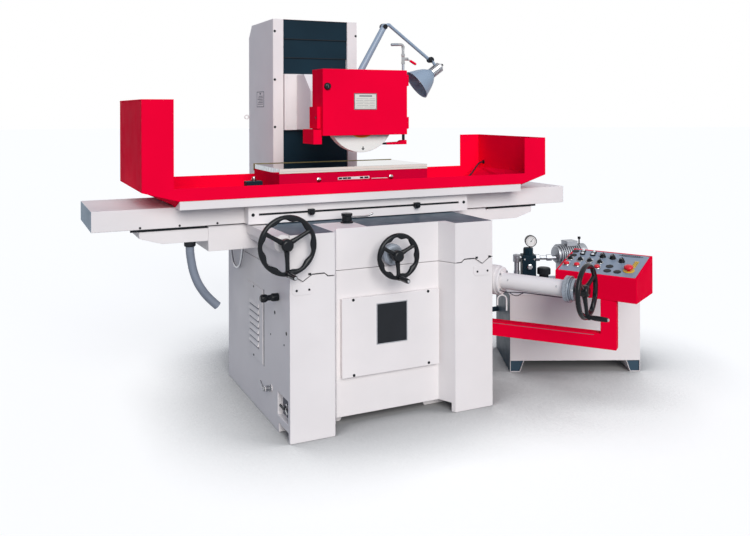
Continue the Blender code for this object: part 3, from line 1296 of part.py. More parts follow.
def control_panel(pendant):
    inset = PANEL_EDGE + GAP
    start, end = inset, PENDANT_DEPTH - inset
    low = -PANEL_THICK
    outline = [(start, pendant_top(start) + low), (end, pendant_top(end) + low), (end, pendant_top(end)),
               (start, pendant_top(start))]
    plate = prism(outline, "Y", inset, PENDANT_LENGTH - inset)
    places = RED_BUTTONS + SELECTORS + SPEED_KNOBS + (STOP_BUTTON,)
    normal = panel_normal()
    bores = []
    for x, y in places:
        spot = Vector((x, y, pendant_top(x)))
        bores.append(cylinder(spot - 0.05 * normal, spot + 0.05 * normal, CONTROL_BORE, 14))
    return solid("control_panel", [plate], pendant, panel_blue(), cuts=bores)


def panel_normal():
    lean = panel_lean()
    return Vector((math.sin(lean), 0, math.cos(lean)))


def control(name, place, profile, pendant, look, extra=()):
    """A control standing on the panel: its profile starts under it and its axis is the panel's normal."""
    x, y = place
    spot = Vector((x, y, pendant_top(x)))
    shape = lathe(profile, 18, tuple(panel_normal()), spot)
    return solid(name, [shape, *extra], pendant, look, origin=tuple(spot))


def push_button(name, place, pendant):
    stem = STEM_RADIUS
    cap = BUTTON_RADIUS
    profile = ((0, -0.014), (stem, -0.014), (stem, 0.004), (cap, 0.006), (cap, 0.010), (cap - 0.0025, 0.014),
               (0, 0.015))
    return control(name, place, profile, pendant, red_paint())


def selector_switch(name, place, pendant):
    stem = STEM_RADIUS
    base, top = SELECTOR_RADIUS, SELECTOR_RADIUS - 0.004
    profile = ((0, -0.014), (stem, -0.014), (stem, GAP), (base, GAP), (base, 0.005), (top, 0.008),
               (top, 0.012), (0, 0.012))
    return control(name, place, profile, pendant, black_plastic(), [pointer(place, 0.0095, 0.0035, 0.019)])


def speed_knob(name, place, pendant):
    stem = STEM_RADIUS
    base = KNOB_BASE_RADIUS
    profile = ((0, -0.014), (stem, -0.014), (stem, GAP), (base, GAP), (base, 0.004), (base - 0.0035, 0.008),
               (base - 0.0045, 0.016), (0, 0.017))
    return control(name, place, profile, pendant, black_plastic(), [pointer(place, 0.013, 0.003, 0.020)])


def pointer(place, half_length, half_width, height):
    """A raised finger bar across a knob, square to the panel."""
    x, y = place
    spot = Vector((x, y, pendant_top(x)))
    bar = block((-half_length, -half_width, 0.006), (half_length, half_width, height))
    matrix = Matrix.Translation(spot) @ Matrix.Rotation(panel_lean(), 4, "Y")
    bmesh.ops.transform(bar, matrix=matrix, verts=bar.verts)
    return bar


def stop_button(pendant):
    stem = STEM_RADIUS
    head = STOP_RADIUS
    profile = ((0, -0.016), (stem, -0.016), (stem, 0.008), (0.013, 0.010), (head, 0.014), (head, 0.020),
               (head - 0.0055, 0.027), (0, 0.029))
    return control("emergency_stop", STOP_BUTTON, profile, pendant, red_paint())


# ---------------------------------------------------------------- hydraulic unit


def hydraulic_tank(tank):
    shell = block((0, 0, TANK_BOTTOM), (TANK_LENGTH, TANK_DEPTH, TANK_TOP))
    brim = TANK_BRIM
    lid = block((-brim, -brim, TANK_TOP - 0.001),
                (TANK_LENGTH + brim, TANK_DEPTH + brim, TANK_TOP + TANK_LID))
    shapes = [shell, lid]
    top = TANK_BOTTOM + 0.001
    far = TANK_LENGTH - TANK_FOOT
    left_foot = [(0, 0), (TANK_FOOT - FOOT_TAPER, 0), (TANK_FOOT, top), (0, top)]
    right_foot = [(far + FOOT_TAPER, 0), (TANK_LENGTH, 0), (TANK_LENGTH, top), (far, top)]
    shapes += [prism(outline, "Y", 0.002, TANK_DEPTH - 0.002) for outline in (left_foot, right_foot)]
    neck = CAP_NECK_RADIUS
    profile = ((0, TANK_TOP), (neck, TANK_TOP), (neck, CAP_BOTTOM - 0.002), (CAP_RADIUS, CAP_BOTTOM),
               (CAP_RADIUS, CAP_TOP - 0.006), (CAP_RADIUS - 0.006, CAP_TOP), (0, CAP_TOP))
    cap = lathe(profile, 24, "Z", (CAP_X, PUMP_Y, 0))
    x, y = ELBOW_X, VALVE_Y
    elbow = cylinder((x, y, TANK_TOP), (x, y, ELBOW_TOP - 0.002), ELBOW_RADIUS, 12)
    collar = cylinder((x, y, SPUR_Z - 0.013), (x, y, ELBOW_TOP), ELBOW_RADIUS + 0.005, 12)
    spur = cylinder((x, y, SPUR_Z), (VALVE_X - VALVE_HALF - GAP, y, SPUR_Z), ELBOW_RADIUS - 0.001, 12)
    foot = block((0.03, -0.04, TANK_TOP - PUMP_Z), (PUMP_LENGTH - 0.02, 0.04, -PUMP_RADIUS - GAP))
    bmesh.ops.transform(foot, matrix=pump_frame(), verts=foot.verts)
    shapes += [cap, elbow, collar, spur, foot, oil_pipe()]
    return solid("hydraulic_tank", shapes, tank, white_paint())


def oil_pipe():
    """The pipe from the tank's side to the base, which ends just short of the base's wall."""
    lean = TANK_TURN
    x, y, z, radius = OIL_PIPE
    start = Vector((x, y, z))
    world_x = TANK_X + start.x * math.cos(lean) - start.y * math.sin(lean)
    reach = world_x - BASE_HALF - GAP
    direction = Vector((-math.cos(lean), math.sin(lean), 0))
    return cylinder(start, start + reach * direction, radius, 14)


def pump_frame():
    """The pump's own frame: its shaft runs along X from the end that the outlet meets."""
    return Matrix.Translation((PUMP_X, PUMP_Y, PUMP_Z)) @ Matrix.Rotation(PUMP_TURN, 4, "Z")


def pump_motor(tank):
    body = PUMP_RADIUS - PUMP_FIN_DEPTH
    end = PUMP_LENGTH
    pitch = (end - 0.05) / PUMP_FINS
    profile = [(0, 0), (body - 0.004, 0), (body, 0.010)]
    for number in range(PUMP_FINS):
        start = 0.016 + number * pitch
        stop = start + 0.55 * pitch
        profile += [(body, start), (PUMP_RADIUS, start + 0.001), (PUMP_RADIUS, stop), (body, stop + 0.001)]
    profile += [(body + 0.004, end - 0.016), (body + 0.004, end), (0, end)]
    motor = lathe(profile, 18, "X", (0, 0, 0))
    low = PUMP_RADIUS - 0.012
    terminal_box = block((0.06, -0.030, low), (0.13, 0.030, low + 0.030))
    for shape in (motor, terminal_box):
        bmesh.ops.transform(shape, matrix=pump_frame(), verts=shape.verts)
    height = PUMP_Z - 0.018
    outlet = cylinder((VALVE_X + VALVE_HALF + GAP, PUMP_Y, height), (PUMP_X + 0.02, PUMP_Y, height),
                      PUMP_OUTLET_RADIUS, 12)
    return solid("pump_motor", [motor, terminal_box, outlet], tank, bright_steel())


def valve_block(tank):
    low = TANK_TOP + TANK_LID + GAP
    half = VALVE_HALF
    x, y = VALVE_X, VALVE_Y
    body = block((x - half, y - half, low), (x + half, y + half, VALVE_TOP))
    neck = cylinder((GAUGE_X, y, VALVE_TOP - 0.012), (GAUGE_X, y, GAUGE_Z - GAUGE_RADIUS + 0.006), 0.011, 12)
    radius, height = VALVE_BONNET
    top = cylinder((x, y, VALVE_TOP - 0.006), (x, y, height), radius, 16)
    plug_z = VALVE_TOP - 0.062
    plug = cylinder((x, y - half + 0.002, plug_z), (x, y - half - 0.020, plug_z), 0.014, 14)
    edge = GAUGE_RADIUS
    profile = ((0, -0.014), (edge - 0.004, -0.014), (edge, -0.010), (edge, 0.010), (edge - 0.003, 0.014),
               (0, 0.014))
    gauge = lathe(profile, 28, "-Y", (GAUGE_X, y, GAUGE_Z))
    return solid("valve_block", [body, neck, top, plug, gauge], tank, slate_paint())


# ---------------------------------------------------------------- small fittings on the base


def lubricator_knob(root):
    face = -BASE_HALF - GAP
    waist = KNOB_WAIST_RADIUS
    end = KNOB_LENGTH
    profile = ((0, 0), (waist, 0), (KNOB_RADIUS, 0.003), (KNOB_RADIUS, 0.030), (waist, 0.036),
               (waist, 0.050), (KNOB_RADIUS, 0.056), (KNOB_RADIUS, end - 0.004), (KNOB_RADIUS - 0.004, end),
               (0, end))
    shape = lathe(profile, 20, "-X", (face, KNOB_Y, KNOB_Z))
    return solid("lubricator_knob", [shape], root, black_plastic(), origin=(face, KNOB_Y, KNOB_Z))


def drain_cock_lever(root):
    x = -BASE_HALF + 0.002 - COCK_LENGTH - GAP
    hub = cylinder((x, COCK_Y, COCK_Z), (x - 0.007, COCK_Y, COCK_Z), 0.010, 12)
    handle = cylinder((x - 0.0045, COCK_Y, COCK_Z), (x - 0.0045, COCK_Y + 0.045, COCK_Z + 0.024), 0.004, 8)
    return solid("drain_cock_lever", [hub, handle], root, bright_steel(), origin=(x, COCK_Y, COCK_Z))


# ---------------------------------------------------------------- assembly


def clear_scene():
    for obj in list(bpy.data.objects):
        bpy.data.objects.remove(obj, do_unlink=True)


def build_root(machine):
    base_casting(machine)
    front_cover_plate(machine)
    side_louvre_cover(machine)
    column_casting(machine)
    way_cover_top(machine)
    way_cover_middle(machine)
    elevating_screw(machine)
    lubricator_knob(machine)
    drain_cock_lever(machine)


def build_saddle(machine):
    saddle = empty("saddle_frame", machine)
    saddle_casting(saddle)
    table_cylinder(saddle)
    table_handwheel(saddle)
    cross_handwheel(saddle)
    cross_feed_screw(saddle)
    reversing_lever(saddle)
    cord("drain_hose", HOSE_ROUTE, HOSE_RADIUS, saddle, grey_hose())


def build_table(machine):
    table = empty("table_frame", machine)
    table_casting(table)
    dog_rail(table)
    trip_dog("trip_dog_left", -DOG_REST, table)
    trip_dog("trip_dog_right", DOG_REST, table)
    splash_guard(table)
    chuck_body(table)
    chuck_top_plate(table)
    cord("chuck_cable", CABLE_ROUTE, CABLE_RADIUS, table, black_plastic(), parts=2)


def build_head(machine):
    head = empty("head_frame", machine)
    wheelhead_casting(head)
    way_cover_lower(head)
    spindle_motor(head)
    spindle(head)
    grinding_wheel(head)
    guard_housing(head)
    guard_door(head)
    door_latch(head)
    coolant_pipe(head)
    coolant_lever(head)
    lamp_lower_arm(head)
    lamp_upper_arm(head)
    lamp_head(head)


def build_lift(machine):
    lift = empty("lift_frame", machine, (BASE_HALF, LIFT_ROOT_Y, LIFT_Z), PENDANT_TURN)
    elevating_tube(lift)
    elevating_dial(lift)
    elevating_handwheel(lift)


def build_pendant(machine):
    panel_arm(machine)
    pendant = empty("pendant_frame", machine, (PENDANT_X, PENDANT_Y, 0), PENDANT_TURN)
    control_box(pendant)
    control_panel(pendant)
    for number, place in enumerate(RED_BUTTONS, 1):
        push_button(f"push_button_{number}", place, pendant)
    for number, place in enumerate(SELECTORS, 1):
        selector_switch(f"selector_switch_{number}", place, pendant)
    for number, place in enumerate(SPEED_KNOBS, 1):
        speed_knob(f"speed_knob_{number}", place, pendant)
    stop_button(pendant)


def build_tank(machine):
    tank = empty("tank_frame", machine, (TANK_X, TANK_Y, 0), TANK_TURN)
    hydraulic_tank(tank)
    pump_motor(tank)
    valve_block(tank)


def main():
    clear_scene()
    machine = empty("machine", None, (MACHINE_X, MACHINE_Y, 0))
    build_root(machine)
    build_saddle(machine)
    build_table(machine)
    build_head(machine)
    build_lift(machine)
    build_pendant(machine)
    build_tank(machine)


main()
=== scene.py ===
import json
import math

import bmesh
import bpy
from mathutils import Matrix, Vector

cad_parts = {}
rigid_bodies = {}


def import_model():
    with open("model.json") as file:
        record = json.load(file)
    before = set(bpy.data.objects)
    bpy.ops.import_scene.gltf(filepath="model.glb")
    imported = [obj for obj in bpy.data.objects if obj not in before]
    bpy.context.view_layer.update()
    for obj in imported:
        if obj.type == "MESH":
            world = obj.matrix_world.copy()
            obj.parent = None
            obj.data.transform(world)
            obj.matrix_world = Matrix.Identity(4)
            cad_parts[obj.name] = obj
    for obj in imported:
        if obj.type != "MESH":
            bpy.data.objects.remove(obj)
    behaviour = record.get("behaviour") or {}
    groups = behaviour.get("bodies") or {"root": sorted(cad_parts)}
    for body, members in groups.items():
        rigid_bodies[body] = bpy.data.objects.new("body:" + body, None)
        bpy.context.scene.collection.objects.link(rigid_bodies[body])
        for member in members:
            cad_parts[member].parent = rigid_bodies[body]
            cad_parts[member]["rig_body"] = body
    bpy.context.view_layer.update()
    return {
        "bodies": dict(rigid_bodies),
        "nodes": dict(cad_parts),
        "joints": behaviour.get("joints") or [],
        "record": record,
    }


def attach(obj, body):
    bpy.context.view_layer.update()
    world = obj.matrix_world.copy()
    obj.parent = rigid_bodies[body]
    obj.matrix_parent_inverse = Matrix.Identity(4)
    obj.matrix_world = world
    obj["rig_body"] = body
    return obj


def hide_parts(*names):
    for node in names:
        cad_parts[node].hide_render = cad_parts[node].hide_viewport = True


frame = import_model()
NODES = frame["nodes"]

# The machine's own zero (centre plane, front of the base, floor) in the row frame
ZERO = Vector((-0.2147, -0.5189, 0.0))


def placed(x, y, z, turn=0.0):
    """A frame inside the machine's own, turned about Z by some degrees."""
    return Matrix.Translation((x, y, z)) @ Matrix.Rotation(math.radians(turn), 4, "Z")


MACHINE = Matrix.Translation(ZERO)
LIFT = MACHINE @ placed(0.5035, 0.150, 0.579, 30)  # elevating shaft, which runs along local -Y
PENDANT = MACHINE @ placed(1.0268, -0.3869, 0, 30)  # local X goes back, local Y from the right end
ARM = MACHINE @ placed(0.5035, 0.29, 0, 39)
TANK = MACHINE @ placed(0.853, 0.356, 0, -25)
PUMP = TANK @ placed(0.297, 0.240, 0.581, 20)  # motor shaft along local X


def at(x, y, z):
    """A point given from the machine's own zero."""
    return ZERO + Vector((x, y, z))


# ---------------------------------------------------------------- materials


# How dark the painted shade in the corners gets, and how far it reaches out of them
CORNER_SHADE, CORNER_SHADE_REACH = 0.45, 0.012
ORANGE_PEEL = 0.22


def new_material(name):
    mat = bpy.data.materials.new(name)
    mat.use_nodes = True
    return mat, mat.node_tree, mat.node_tree.nodes["Principled BSDF"]


def fill(tree, node, inputs):
    """Links the sockets among the values to the node's inputs, and stores the other values there."""
    for key, value in inputs.items():
        socket = node.inputs[key]
        if isinstance(value, bpy.types.NodeSocket):
            tree.links.new(value, socket)
        else:
            socket.default_value = (*value, 1.0) if socket.type == "RGBA" else value


def add(tree, kind, inputs, **settings):
    node = tree.nodes.new("ShaderNode" + kind)
    for key, value in settings.items():
        setattr(node, key, value)
    fill(tree, node, inputs)
    return node


def ramp(tree, source, low, high, start=0.3, end=0.7):
    limits = {"From Min": start, "From Max": end, "To Min": low, "To Max": high}
    return add(tree, "MapRange", {"Value": source, **limits}).outputs["Result"]


def noise(tree, scale, detail=3.0, stretch=(1, 1, 1)):
    coords = add(tree, "TexCoord", {}).outputs["Object"]
    mapped = add(tree, "Mapping", {"Vector": coords, "Scale": stretch}).outputs["Vector"]
    return add(tree, "TexNoise", {"Vector": mapped, "Scale": scale, "Detail": detail}).outputs["Fac"]


def mixed(tree, factor, first, second):
    """Two colours mixed: sockets 0, 6 and 7 are the node's factor and its two colours."""
    return add(tree, "Mix", {0: factor, 6: first, 7: second}, data_type="RGBA").outputs[2]


def bump(tree, height, strength, distance):
    return add(tree, "Bump", {"Height": height, "Strength": strength, "Distance": distance}).outputs["Normal"]


def openness(tree, distance):
    """1 in the open, falling towards 0 in corners."""
    return add(tree, "AmbientOcclusion", {"Distance": distance}, samples=4).outputs["AO"]


def bands(tree, axis, pitch, width):
    """1 on narrow stripes across an axis, 0 between them."""
    coords = add(tree, "TexCoord", {}).outputs["Object"]
    value = add(tree, "SeparateXYZ", {"Vector": coords}).outputs[axis]
    for operation, number in (("MULTIPLY", 1 / pitch), ("FRACT", 0.0), ("LESS_THAN", width / pitch)):
        value = add(tree, "Math", {0: value, 1: number}, operation=operation).outputs[0]
    return value


def enamel(name, colour, roughness, vary=0.05, shine=0.5):
    """Sprayed machine enamel: a fine orange peel, faint mottling, and painted shade darkening the corners."""
    mat, tree, shader = new_material(name)
    dark = [c * (1 - vary) for c in colour]
    light = [min(1.0, c * (1 + vary * 0.5)) for c in colour]
    corner_shade_colour = [c * 0.45 + 0.01 for c in colour]
    base = mixed(tree, ramp(tree, noise(tree, 3.0), 0, 1), dark, light)
    # Painted shade: the colour darkens in corners and creases, where ambient occlusion finds them closed in
    corner = ramp(tree, openness(tree, CORNER_SHADE_REACH), CORNER_SHADE, 0.0, 0.2, 0.8)
    fill(tree, shader, {
        "Base Color": mixed(tree, corner, base, corner_shade_colour),
        "Roughness": ramp(tree, noise(tree, 14.0), roughness - 0.05, roughness + 0.07),
        "Normal": bump(tree, noise(tree, 420.0, 2.0), ORANGE_PEEL, 0.0004),
        "Specular IOR Level": shine,
    })
    return mat


def metal(name, colour, roughness, brush=(1, 1, 60), scale=30.0, depth=0.15):
    """Machined or plated metal with fine lines across one way."""
    mat, tree, shader = new_material(name)
    lines = noise(tree, scale, 4.0, brush)
    fill(tree, shader, {
        "Base Color": mixed(tree, ramp(tree, lines, 0, 1, 0.35, 0.65), [c * 0.78 for c in colour], colour),
        "Roughness": ramp(tree, lines, roughness - 0.06, roughness + 0.1),
        "Normal": bump(tree, lines, depth, 0.0003),
        "Metallic": 1.0,
    })
    return mat


def plastic(name, colour, roughness, shine=0.2):
    """Moulded plastic, rubber or paper: an even colour with a faint grain."""
    mat, tree, shader = new_material(name)
    fill(tree, shader, {
        "Base Color": mixed(tree, ramp(tree, noise(tree, 9.0), 0, 1), [c * 0.8 for c in colour], colour),
        "Roughness": ramp(tree, noise(tree, 25.0), roughness - 0.04, roughness + 0.08),
        "Normal": bump(tree, noise(tree, 300.0, 2.0), 0.1, 0.0003),
        "Specular IOR Level": shine,
    })
    return mat


def grit(name, colour):
    """Bonded abrasive: open grains in a chalky bond."""
    mat, tree, shader = new_material(name)
    grain = noise(tree, 900.0, 2.0)
    fill(tree, shader, {
        "Base Color": mixed(tree, ramp(tree, grain, 0, 1), [c * 0.8 for c in colour], colour),
        "Roughness": 0.9,
        "Normal": bump(tree, grain, 0.5, 0.0006),
    })
    return mat


def chuck_face(name):
    """The chuck's ground top: steel poles with thin brass separators across its length."""
    mat, tree, shader = new_material(name)
    lines = noise(tree, 60.0, 4.0, (40, 1, 1))
    steel = mixed(tree, ramp(tree, lines, 0, 1, 0.35, 0.65), (0.40, 0.42, 0.44), (0.56, 0.58, 0.60))
    fill(tree, shader, {
        "Base Color": mixed(tree, bands(tree, "X", 0.0165, 0.0022), steel, (0.52, 0.46, 0.30)),
        "Roughness": ramp(tree, lines, 0.02, 0.05),
        "Metallic": 1.0,
    })
    return mat


WHITE = enamel("white_enamel", (0.81, 0.765, 0.76), 0.46, shine=0.2)
RED = enamel("red_enamel", (0.92, 0.001, 0.036), 0.5, vary=0.06, shine=0.003)
CHUCK_RED = enamel("chuck_enamel", (0.6, 0.001, 0.035), 0.5, vary=0.06, shine=0.003)
SLATE = enamel("slate_enamel", (0.006, 0.021, 0.034), 0.48, vary=0.25, shine=0.1)
# Dark slate blue that paints shade: on the saddle's top, the tank's left end and the pipe between tank and base
SHADE_SLATE = enamel("painted_shade_slate", (0.04, 0.075, 0.11), 0.45, vary=0.2, shine=0.3)
# Dark blue grey that paints the shade inside the tank's channel feet
FOOT_SHADE = enamel("foot_shade_enamel", (0.03, 0.065, 0.1), 0.5, vary=0.2, shine=0.3)
LAMP = enamel("lamp_enamel", (0.27, 0.35, 0.45), 0.36, vary=0.06)
# Blue grey that paints the shade on the table's end faces
END_SHADE = enamel("end_shade_enamel", (0.17, 0.25, 0.33), 0.45, vary=0.12, shine=0.2)
PANEL = enamel("panel_enamel", (0.24, 0.3, 0.38), 0.42, vary=0.06)
CREAM = enamel("plate_enamel", (0.74, 0.71, 0.64), 0.35, vary=0.05)
YELLOW = plastic("yellow_plastic", (0.9, 0.56, 0.05), 0.4)
ORANGE = plastic("orange_paper", (0.95, 0.15, 0.02), 0.8)
BLACK = plastic("black_phenolic", (0.008, 0.01, 0.013), 0.18)
BLACK_MATT = plastic("black_matt", (0.012, 0.014, 0.018), 0.5)
# Dark grey for plate rims, printed marks and the louvre gasket, and as painted shade in the louvre throats and the
# oil pocket
DARK_MARKS_AND_SHADE = plastic("dark_marks_and_painted_shade", (0.2, 0.2, 0.22), 0.7)
RED_PLASTIC = plastic("red_plastic", (0.8, 0.004, 0.025), 0.28, shine=0.4)
LENS = plastic("white_lens", (0.78, 0.8, 0.82), 0.25, shine=0.5)
DIAL_FACE = plastic("dial_face", (0.86, 0.86, 0.84), 0.35)
HOSE = plastic("grey_hose", (0.24, 0.27, 0.33), 0.5)
CABLE = plastic("black_cable", (0.022, 0.014, 0.03), 0.45)
STEEL = metal("bright_steel", (0.5, 0.51, 0.54), 0.28)
GROUND = metal("ground_steel", (0.55, 0.56, 0.57), 0.3, brush=(1, 40, 1), scale=60.0)
DIAL = metal("satin_dial", (0.34, 0.38, 0.44), 0.4, brush=(1, 1, 1), scale=220.0, depth=0.05)
CHROME = metal("chrome_plate", (0.46, 0.47, 0.49), 0.14, scale=8.0, depth=0.03)
BRASS = metal("olive_brass", (0.2, 0.17, 0.08), 0.35)
CAST_GREY = metal("cast_alloy", (0.42, 0.44, 0.48), 0.42, scale=40.0, depth=0.3)
CHUCK_FACE = chuck_face("chuck_face")
GRIT = grit("white_grit", (0.94, 0.92, 0.87))

# ---------------------------------------------------------------- making pieces


def level_normals(bm, smooth):
    """Corner normals weighted by area, so that a flat face stays flat beside its rounded edges."""
    bm.normal_update()
    areas = {face: face.calc_area() for face in bm.faces}
    limit = math.cos(math.radians(smooth))
    normals = []
    for face in bm.faces:
        for loop in face.loops:
            total = face.normal * areas[face]
            for other in loop.vert.link_faces:
                if other != face and face.normal.dot(other.normal) > limit:
                    total += other.normal * areas[other]
            normals.append(total.normalized() if total.length > 0 else Vector((0, 0, 1)))
    return normals


def in_scene(name, data):
    obj = bpy.data.objects.new(name, data)
    bpy.context.scene.collection.objects.link(obj)
    return obj


def finish_piece(name, bm, mat, body, replaces=(), smooth=35):
    mesh = bpy.data.meshes.new(name)
    normals = level_normals(bm, smooth)
    bm.to_mesh(mesh)
    bm.free()
    mesh.materials.append(mat)
    mesh.shade_smooth()
    mesh.set_sharp_from_angle(angle=math.radians(smooth))
    mesh.normals_split_custom_set(normals)
    obj = in_scene(name, mesh)
    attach(obj, body)
    if replaces:
        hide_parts(*replaces)
    return obj


FLAT, SHARP = math.radians(0.6), math.radians(28)  # angles under which faces merge, and over which edges are rounded


def round_edges(bm, edges, width, segments):
    bmesh.ops.bevel(bm, geom=edges, offset=width, offset_type="OFFSET", segments=segments, profile=0.5,
        affect="EDGES", clamp_overlap=True)


def has_room(edge, width):
    """Whether every edge that meets this one is long enough to round it."""
    return all(other.calc_length() > 2.5 * width for vert in edge.verts for other in vert.link_edges)


def is_lid_edge(edge):
    """The edges of the column's lid over the way covers, which is too thin to round."""
    return all(v.co.z > 1.88 and 0.985 < v.co.y - ZERO.y < 1.0305 for v in edge.verts)


def reshape(node, bm):
    """The tray's sloping ends end behind its front rim, and the table's end faces leave room for their painted-shade
    caps.
    """
    for vert in bm.verts:
        spot = vert.co - ZERO
        if node == "splash_guard" and abs(spot.y - 0.31) < 0.0005 and 0.95 < spot.z < 1.0025:
            vert.co.z += 0.0352
        if node == "table_casting" and abs(spot.x) > 1.246:
            vert.co.x -= math.copysign(0.0008, spot.x)


def clone(node, mat, width, segments):
    """The CAD node again, with its edges rounded."""
    source = NODES[node]
    bm = bmesh.new()
    bm.from_mesh(source.data)
    bmesh.ops.remove_doubles(bm, verts=bm.verts, dist=2e-5)
    reshape(node, bm)
    bmesh.ops.dissolve_limit(bm, angle_limit=FLAT, verts=bm.verts, edges=bm.edges)
    edges = [e for e in bm.edges if len(e.link_faces) == 2 and e.calc_face_angle() > SHARP
             and has_room(e, width) and not is_lid_edge(e)]
    round_edges(bm, edges, width, segments)
    bmesh.ops.recalc_face_normals(bm, faces=bm.faces)
    return finish_piece(node + "_skin", bm, mat, source["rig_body"], [node])


def axis_turn(axis):
    """The turn that carries +Z to a direction."""
    return Vector(axis).normalized().to_track_quat("Z", "Y").to_matrix().to_4x4()


class Shape:
    """Closed shapes gathered into one mesh, each with its own rounded edges."""

    def __init__(self, frame=MACHINE):
        self.bm = bmesh.new()
        self.frame = frame

    def take(self, bm, bevel=0.0, segments=2):
        """Adds a finished shape, after rounding its sharp edges."""
        bmesh.ops.recalc_face_normals(bm, faces=bm.faces)
        if bevel:
            round_edges(bm, [e for e in bm.edges if e.calc_face_angle(0) > SHARP], bevel, segments)
        bm.transform(self.frame)
        mesh = bpy.data.meshes.new("part")
        bm.to_mesh(mesh)
        bm.free()
        self.bm.from_mesh(mesh)
        bpy.data.meshes.remove(mesh)
        return self

    def box(self, low, high, bevel=0.0, segments=2, turn=None):
        bm = bmesh.new()
        spots = [bm.verts.new((x, y, z)) for x in (low[0], high[0]) for y in (low[1], high[1]) for z in (low[2],
            high[2])]
        for face in ((0, 1, 3, 2), (4, 6, 7, 5), (0, 4, 5, 1), (2, 3, 7, 6), (0, 2, 6, 4), (1, 5, 7, 3)):
            bm.faces.new([spots[i] for i in face])
        if turn:
            bm.transform(turn)
        return self.take(bm, bevel, segments)

    def prism(self, outline, axis, low, high, bevel=0.0, segments=2):
        bm = bmesh.new()
        rows = []
        for along in (low, high):
            row = []
            for point in outline:
                spot = list(point)
                spot.insert("XYZ".index(axis), along)
                row.append(bm.verts.new(spot))
            rows.append(row)
        bm.faces.new(rows[0])
        bm.faces.new(rows[1][::-1])
        count = len(outline)
        for i in range(count):
            j = (i + 1) % count
            bm.faces.new((rows[0][i], rows[0][j], rows[1][j], rows[1][i]))
        return self.take(bm, bevel, segments)

    def lathe(self, profile, centre=(0, 0, 0), axis=(0, 0, 1), steps=48, bevel=0.0, segments=2):
        """A profile of (radius, distance along the axis), turned; a profile off the axis makes a ring."""
        bm = bmesh.new()
        rings = []
        for radius, along in profile:
            if radius == 0:
                rings.append([bm.verts.new((0, 0, along))] * steps)
                continue
            angles = [2 * math.pi * k / steps for k in range(steps)]
            rings.append([bm.verts.new((radius * math.cos(a), radius * math.sin(a), along)) for a in angles])
        pairs = list(zip(rings, rings[1:]))
        if profile[0][0] != 0:
            pairs.append((rings[-1], rings[0]))
        for first, second in pairs:
            for k in range(steps):
                face = list(dict.fromkeys((first[k], first[(k + 1) % steps], second[(k + 1) % steps], second[k])))
                if len(face) > 2:
                    bm.faces.new(face)
        bm.transform(Matrix.Translation(centre) @ axis_turn(axis))
        return self.take(bm, bevel, segments)

    def turned(self, profile, *place, **more):
        """A profile that is closed to the axis at both its ends."""
        return self.lathe(((0, profile[0][1]), *profile, (0, profile[-1][1])), *place, **more)

    def rod(self, start, end, radius, steps):
        start, end = Vector(start), Vector(end)
        length = (end - start).length
        return self.turned(((radius, 0), (radius, length)), start, end - start, steps)

    def tube(self, points, radius, sides=14, radii=None):
        """A round bar along points, closed at its ends."""
        points = [Vector(p) for p in points]
        bm = bmesh.new()
        rings = []
        normal = None
        for i, point in enumerate(points):
            ahead = points[min(i + 1, len(points) - 1)] - points[max(i - 1, 0)]
            ahead.normalize()
            if normal is None:
                normal = ahead.orthogonal().normalized()
            normal = (normal - ahead * normal.dot(ahead)).normalized()
            other = ahead.cross(normal)
            size = radii[i] if radii else radius
            angles = [2 * math.pi * k / sides for k in range(sides)]
            rings.append([bm.verts.new(point + size * (math.cos(a) * normal + math.sin(a) * other)) for a in angles])
        for first, second in zip(rings, rings[1:]):
            for k in range(sides):
                bm.faces.new((first[k], first[(k + 1) % sides], second[(k + 1) % sides], second[k]))
        bm.faces.new(rings[0][::-1])
        bm.faces.new(rings[-1])
        return self.take(bm)

    def screw(self, place, axis, radius, rise=0.0018):
        """A socket-head screw, its head just standing out."""
        deep, socket = rise * 0.3, radius * 0.5
        return self.turned(((radius, -0.004), (radius, rise * 0.7), (radius * 0.88, rise), (socket, rise),
            (socket * 0.96, deep)), place, axis, 20)

    def screws(self, places, axis, radius, rise=0.0018):
        for place in places:
            self.screw(place, axis, radius, rise)
        return self

    def piece(self, name, mat, body="root", slot=None, replaces=(), smooth=32):
        return finish_piece(name, self.bm, mat, body, replaces, smooth)

    def skin(self, node, mat, body=None, slot=None, smooth=32):
        """The piece that stands for a CAD node."""
        return self.piece(node + "_skin", mat, body or node, slot, [node], smooth)


def arc(centre, radius, start, end, count):
    """Points on a circle in the XZ plane, from one angle to another in degrees."""
    angles = [math.radians(start + (end - start) * k / count) for k in range(count + 1)]
    return [Vector(centre) + Vector((radius * math.cos(a), 0, radius * math.sin(a))) for a in angles]


LEFT, RIGHT, FRONT, UP, BACK = (-1, 0, 0), (1, 0, 0), (0, -1, 0), (0, 0, 1), (0, 1, 0)

# ---------------------------------------------------------------- camera and cords


def camera():
    data = bpy.data.cameras.new("camera")
    data.lens = 37.912
    data.sensor_width = 36
    data.shift_y = -0.2113
    data.clip_end = 60
    obj = in_scene("camera", data)
    obj.location = at(-1.5974, -3.124, 1.3975)
    obj.rotation_euler = (math.radians(90), 0.0028, math.radians(-25.49))
    bpy.context.scene.camera = obj


def smooth_route(route, parts):
    """Points on a smooth curve through the route, with this many to each stretch of it."""
    spots = [Vector(route[0]), *(Vector(spot) for spot in route), Vector(route[-1])]
    points = []
    for before, start, end, after in zip(spots, spots[1:], spots[2:], spots[3:]):
        for k in range(parts):
            t = k / parts
            bend = (2 * before - 5 * start + 4 * end - after) * t * t
            curl = (3 * (start - end) + after - before) * t * t * t
            points.append((2 * start + (end - before) * t + bend + curl) / 2)
    return points + [Vector(route[-1])]


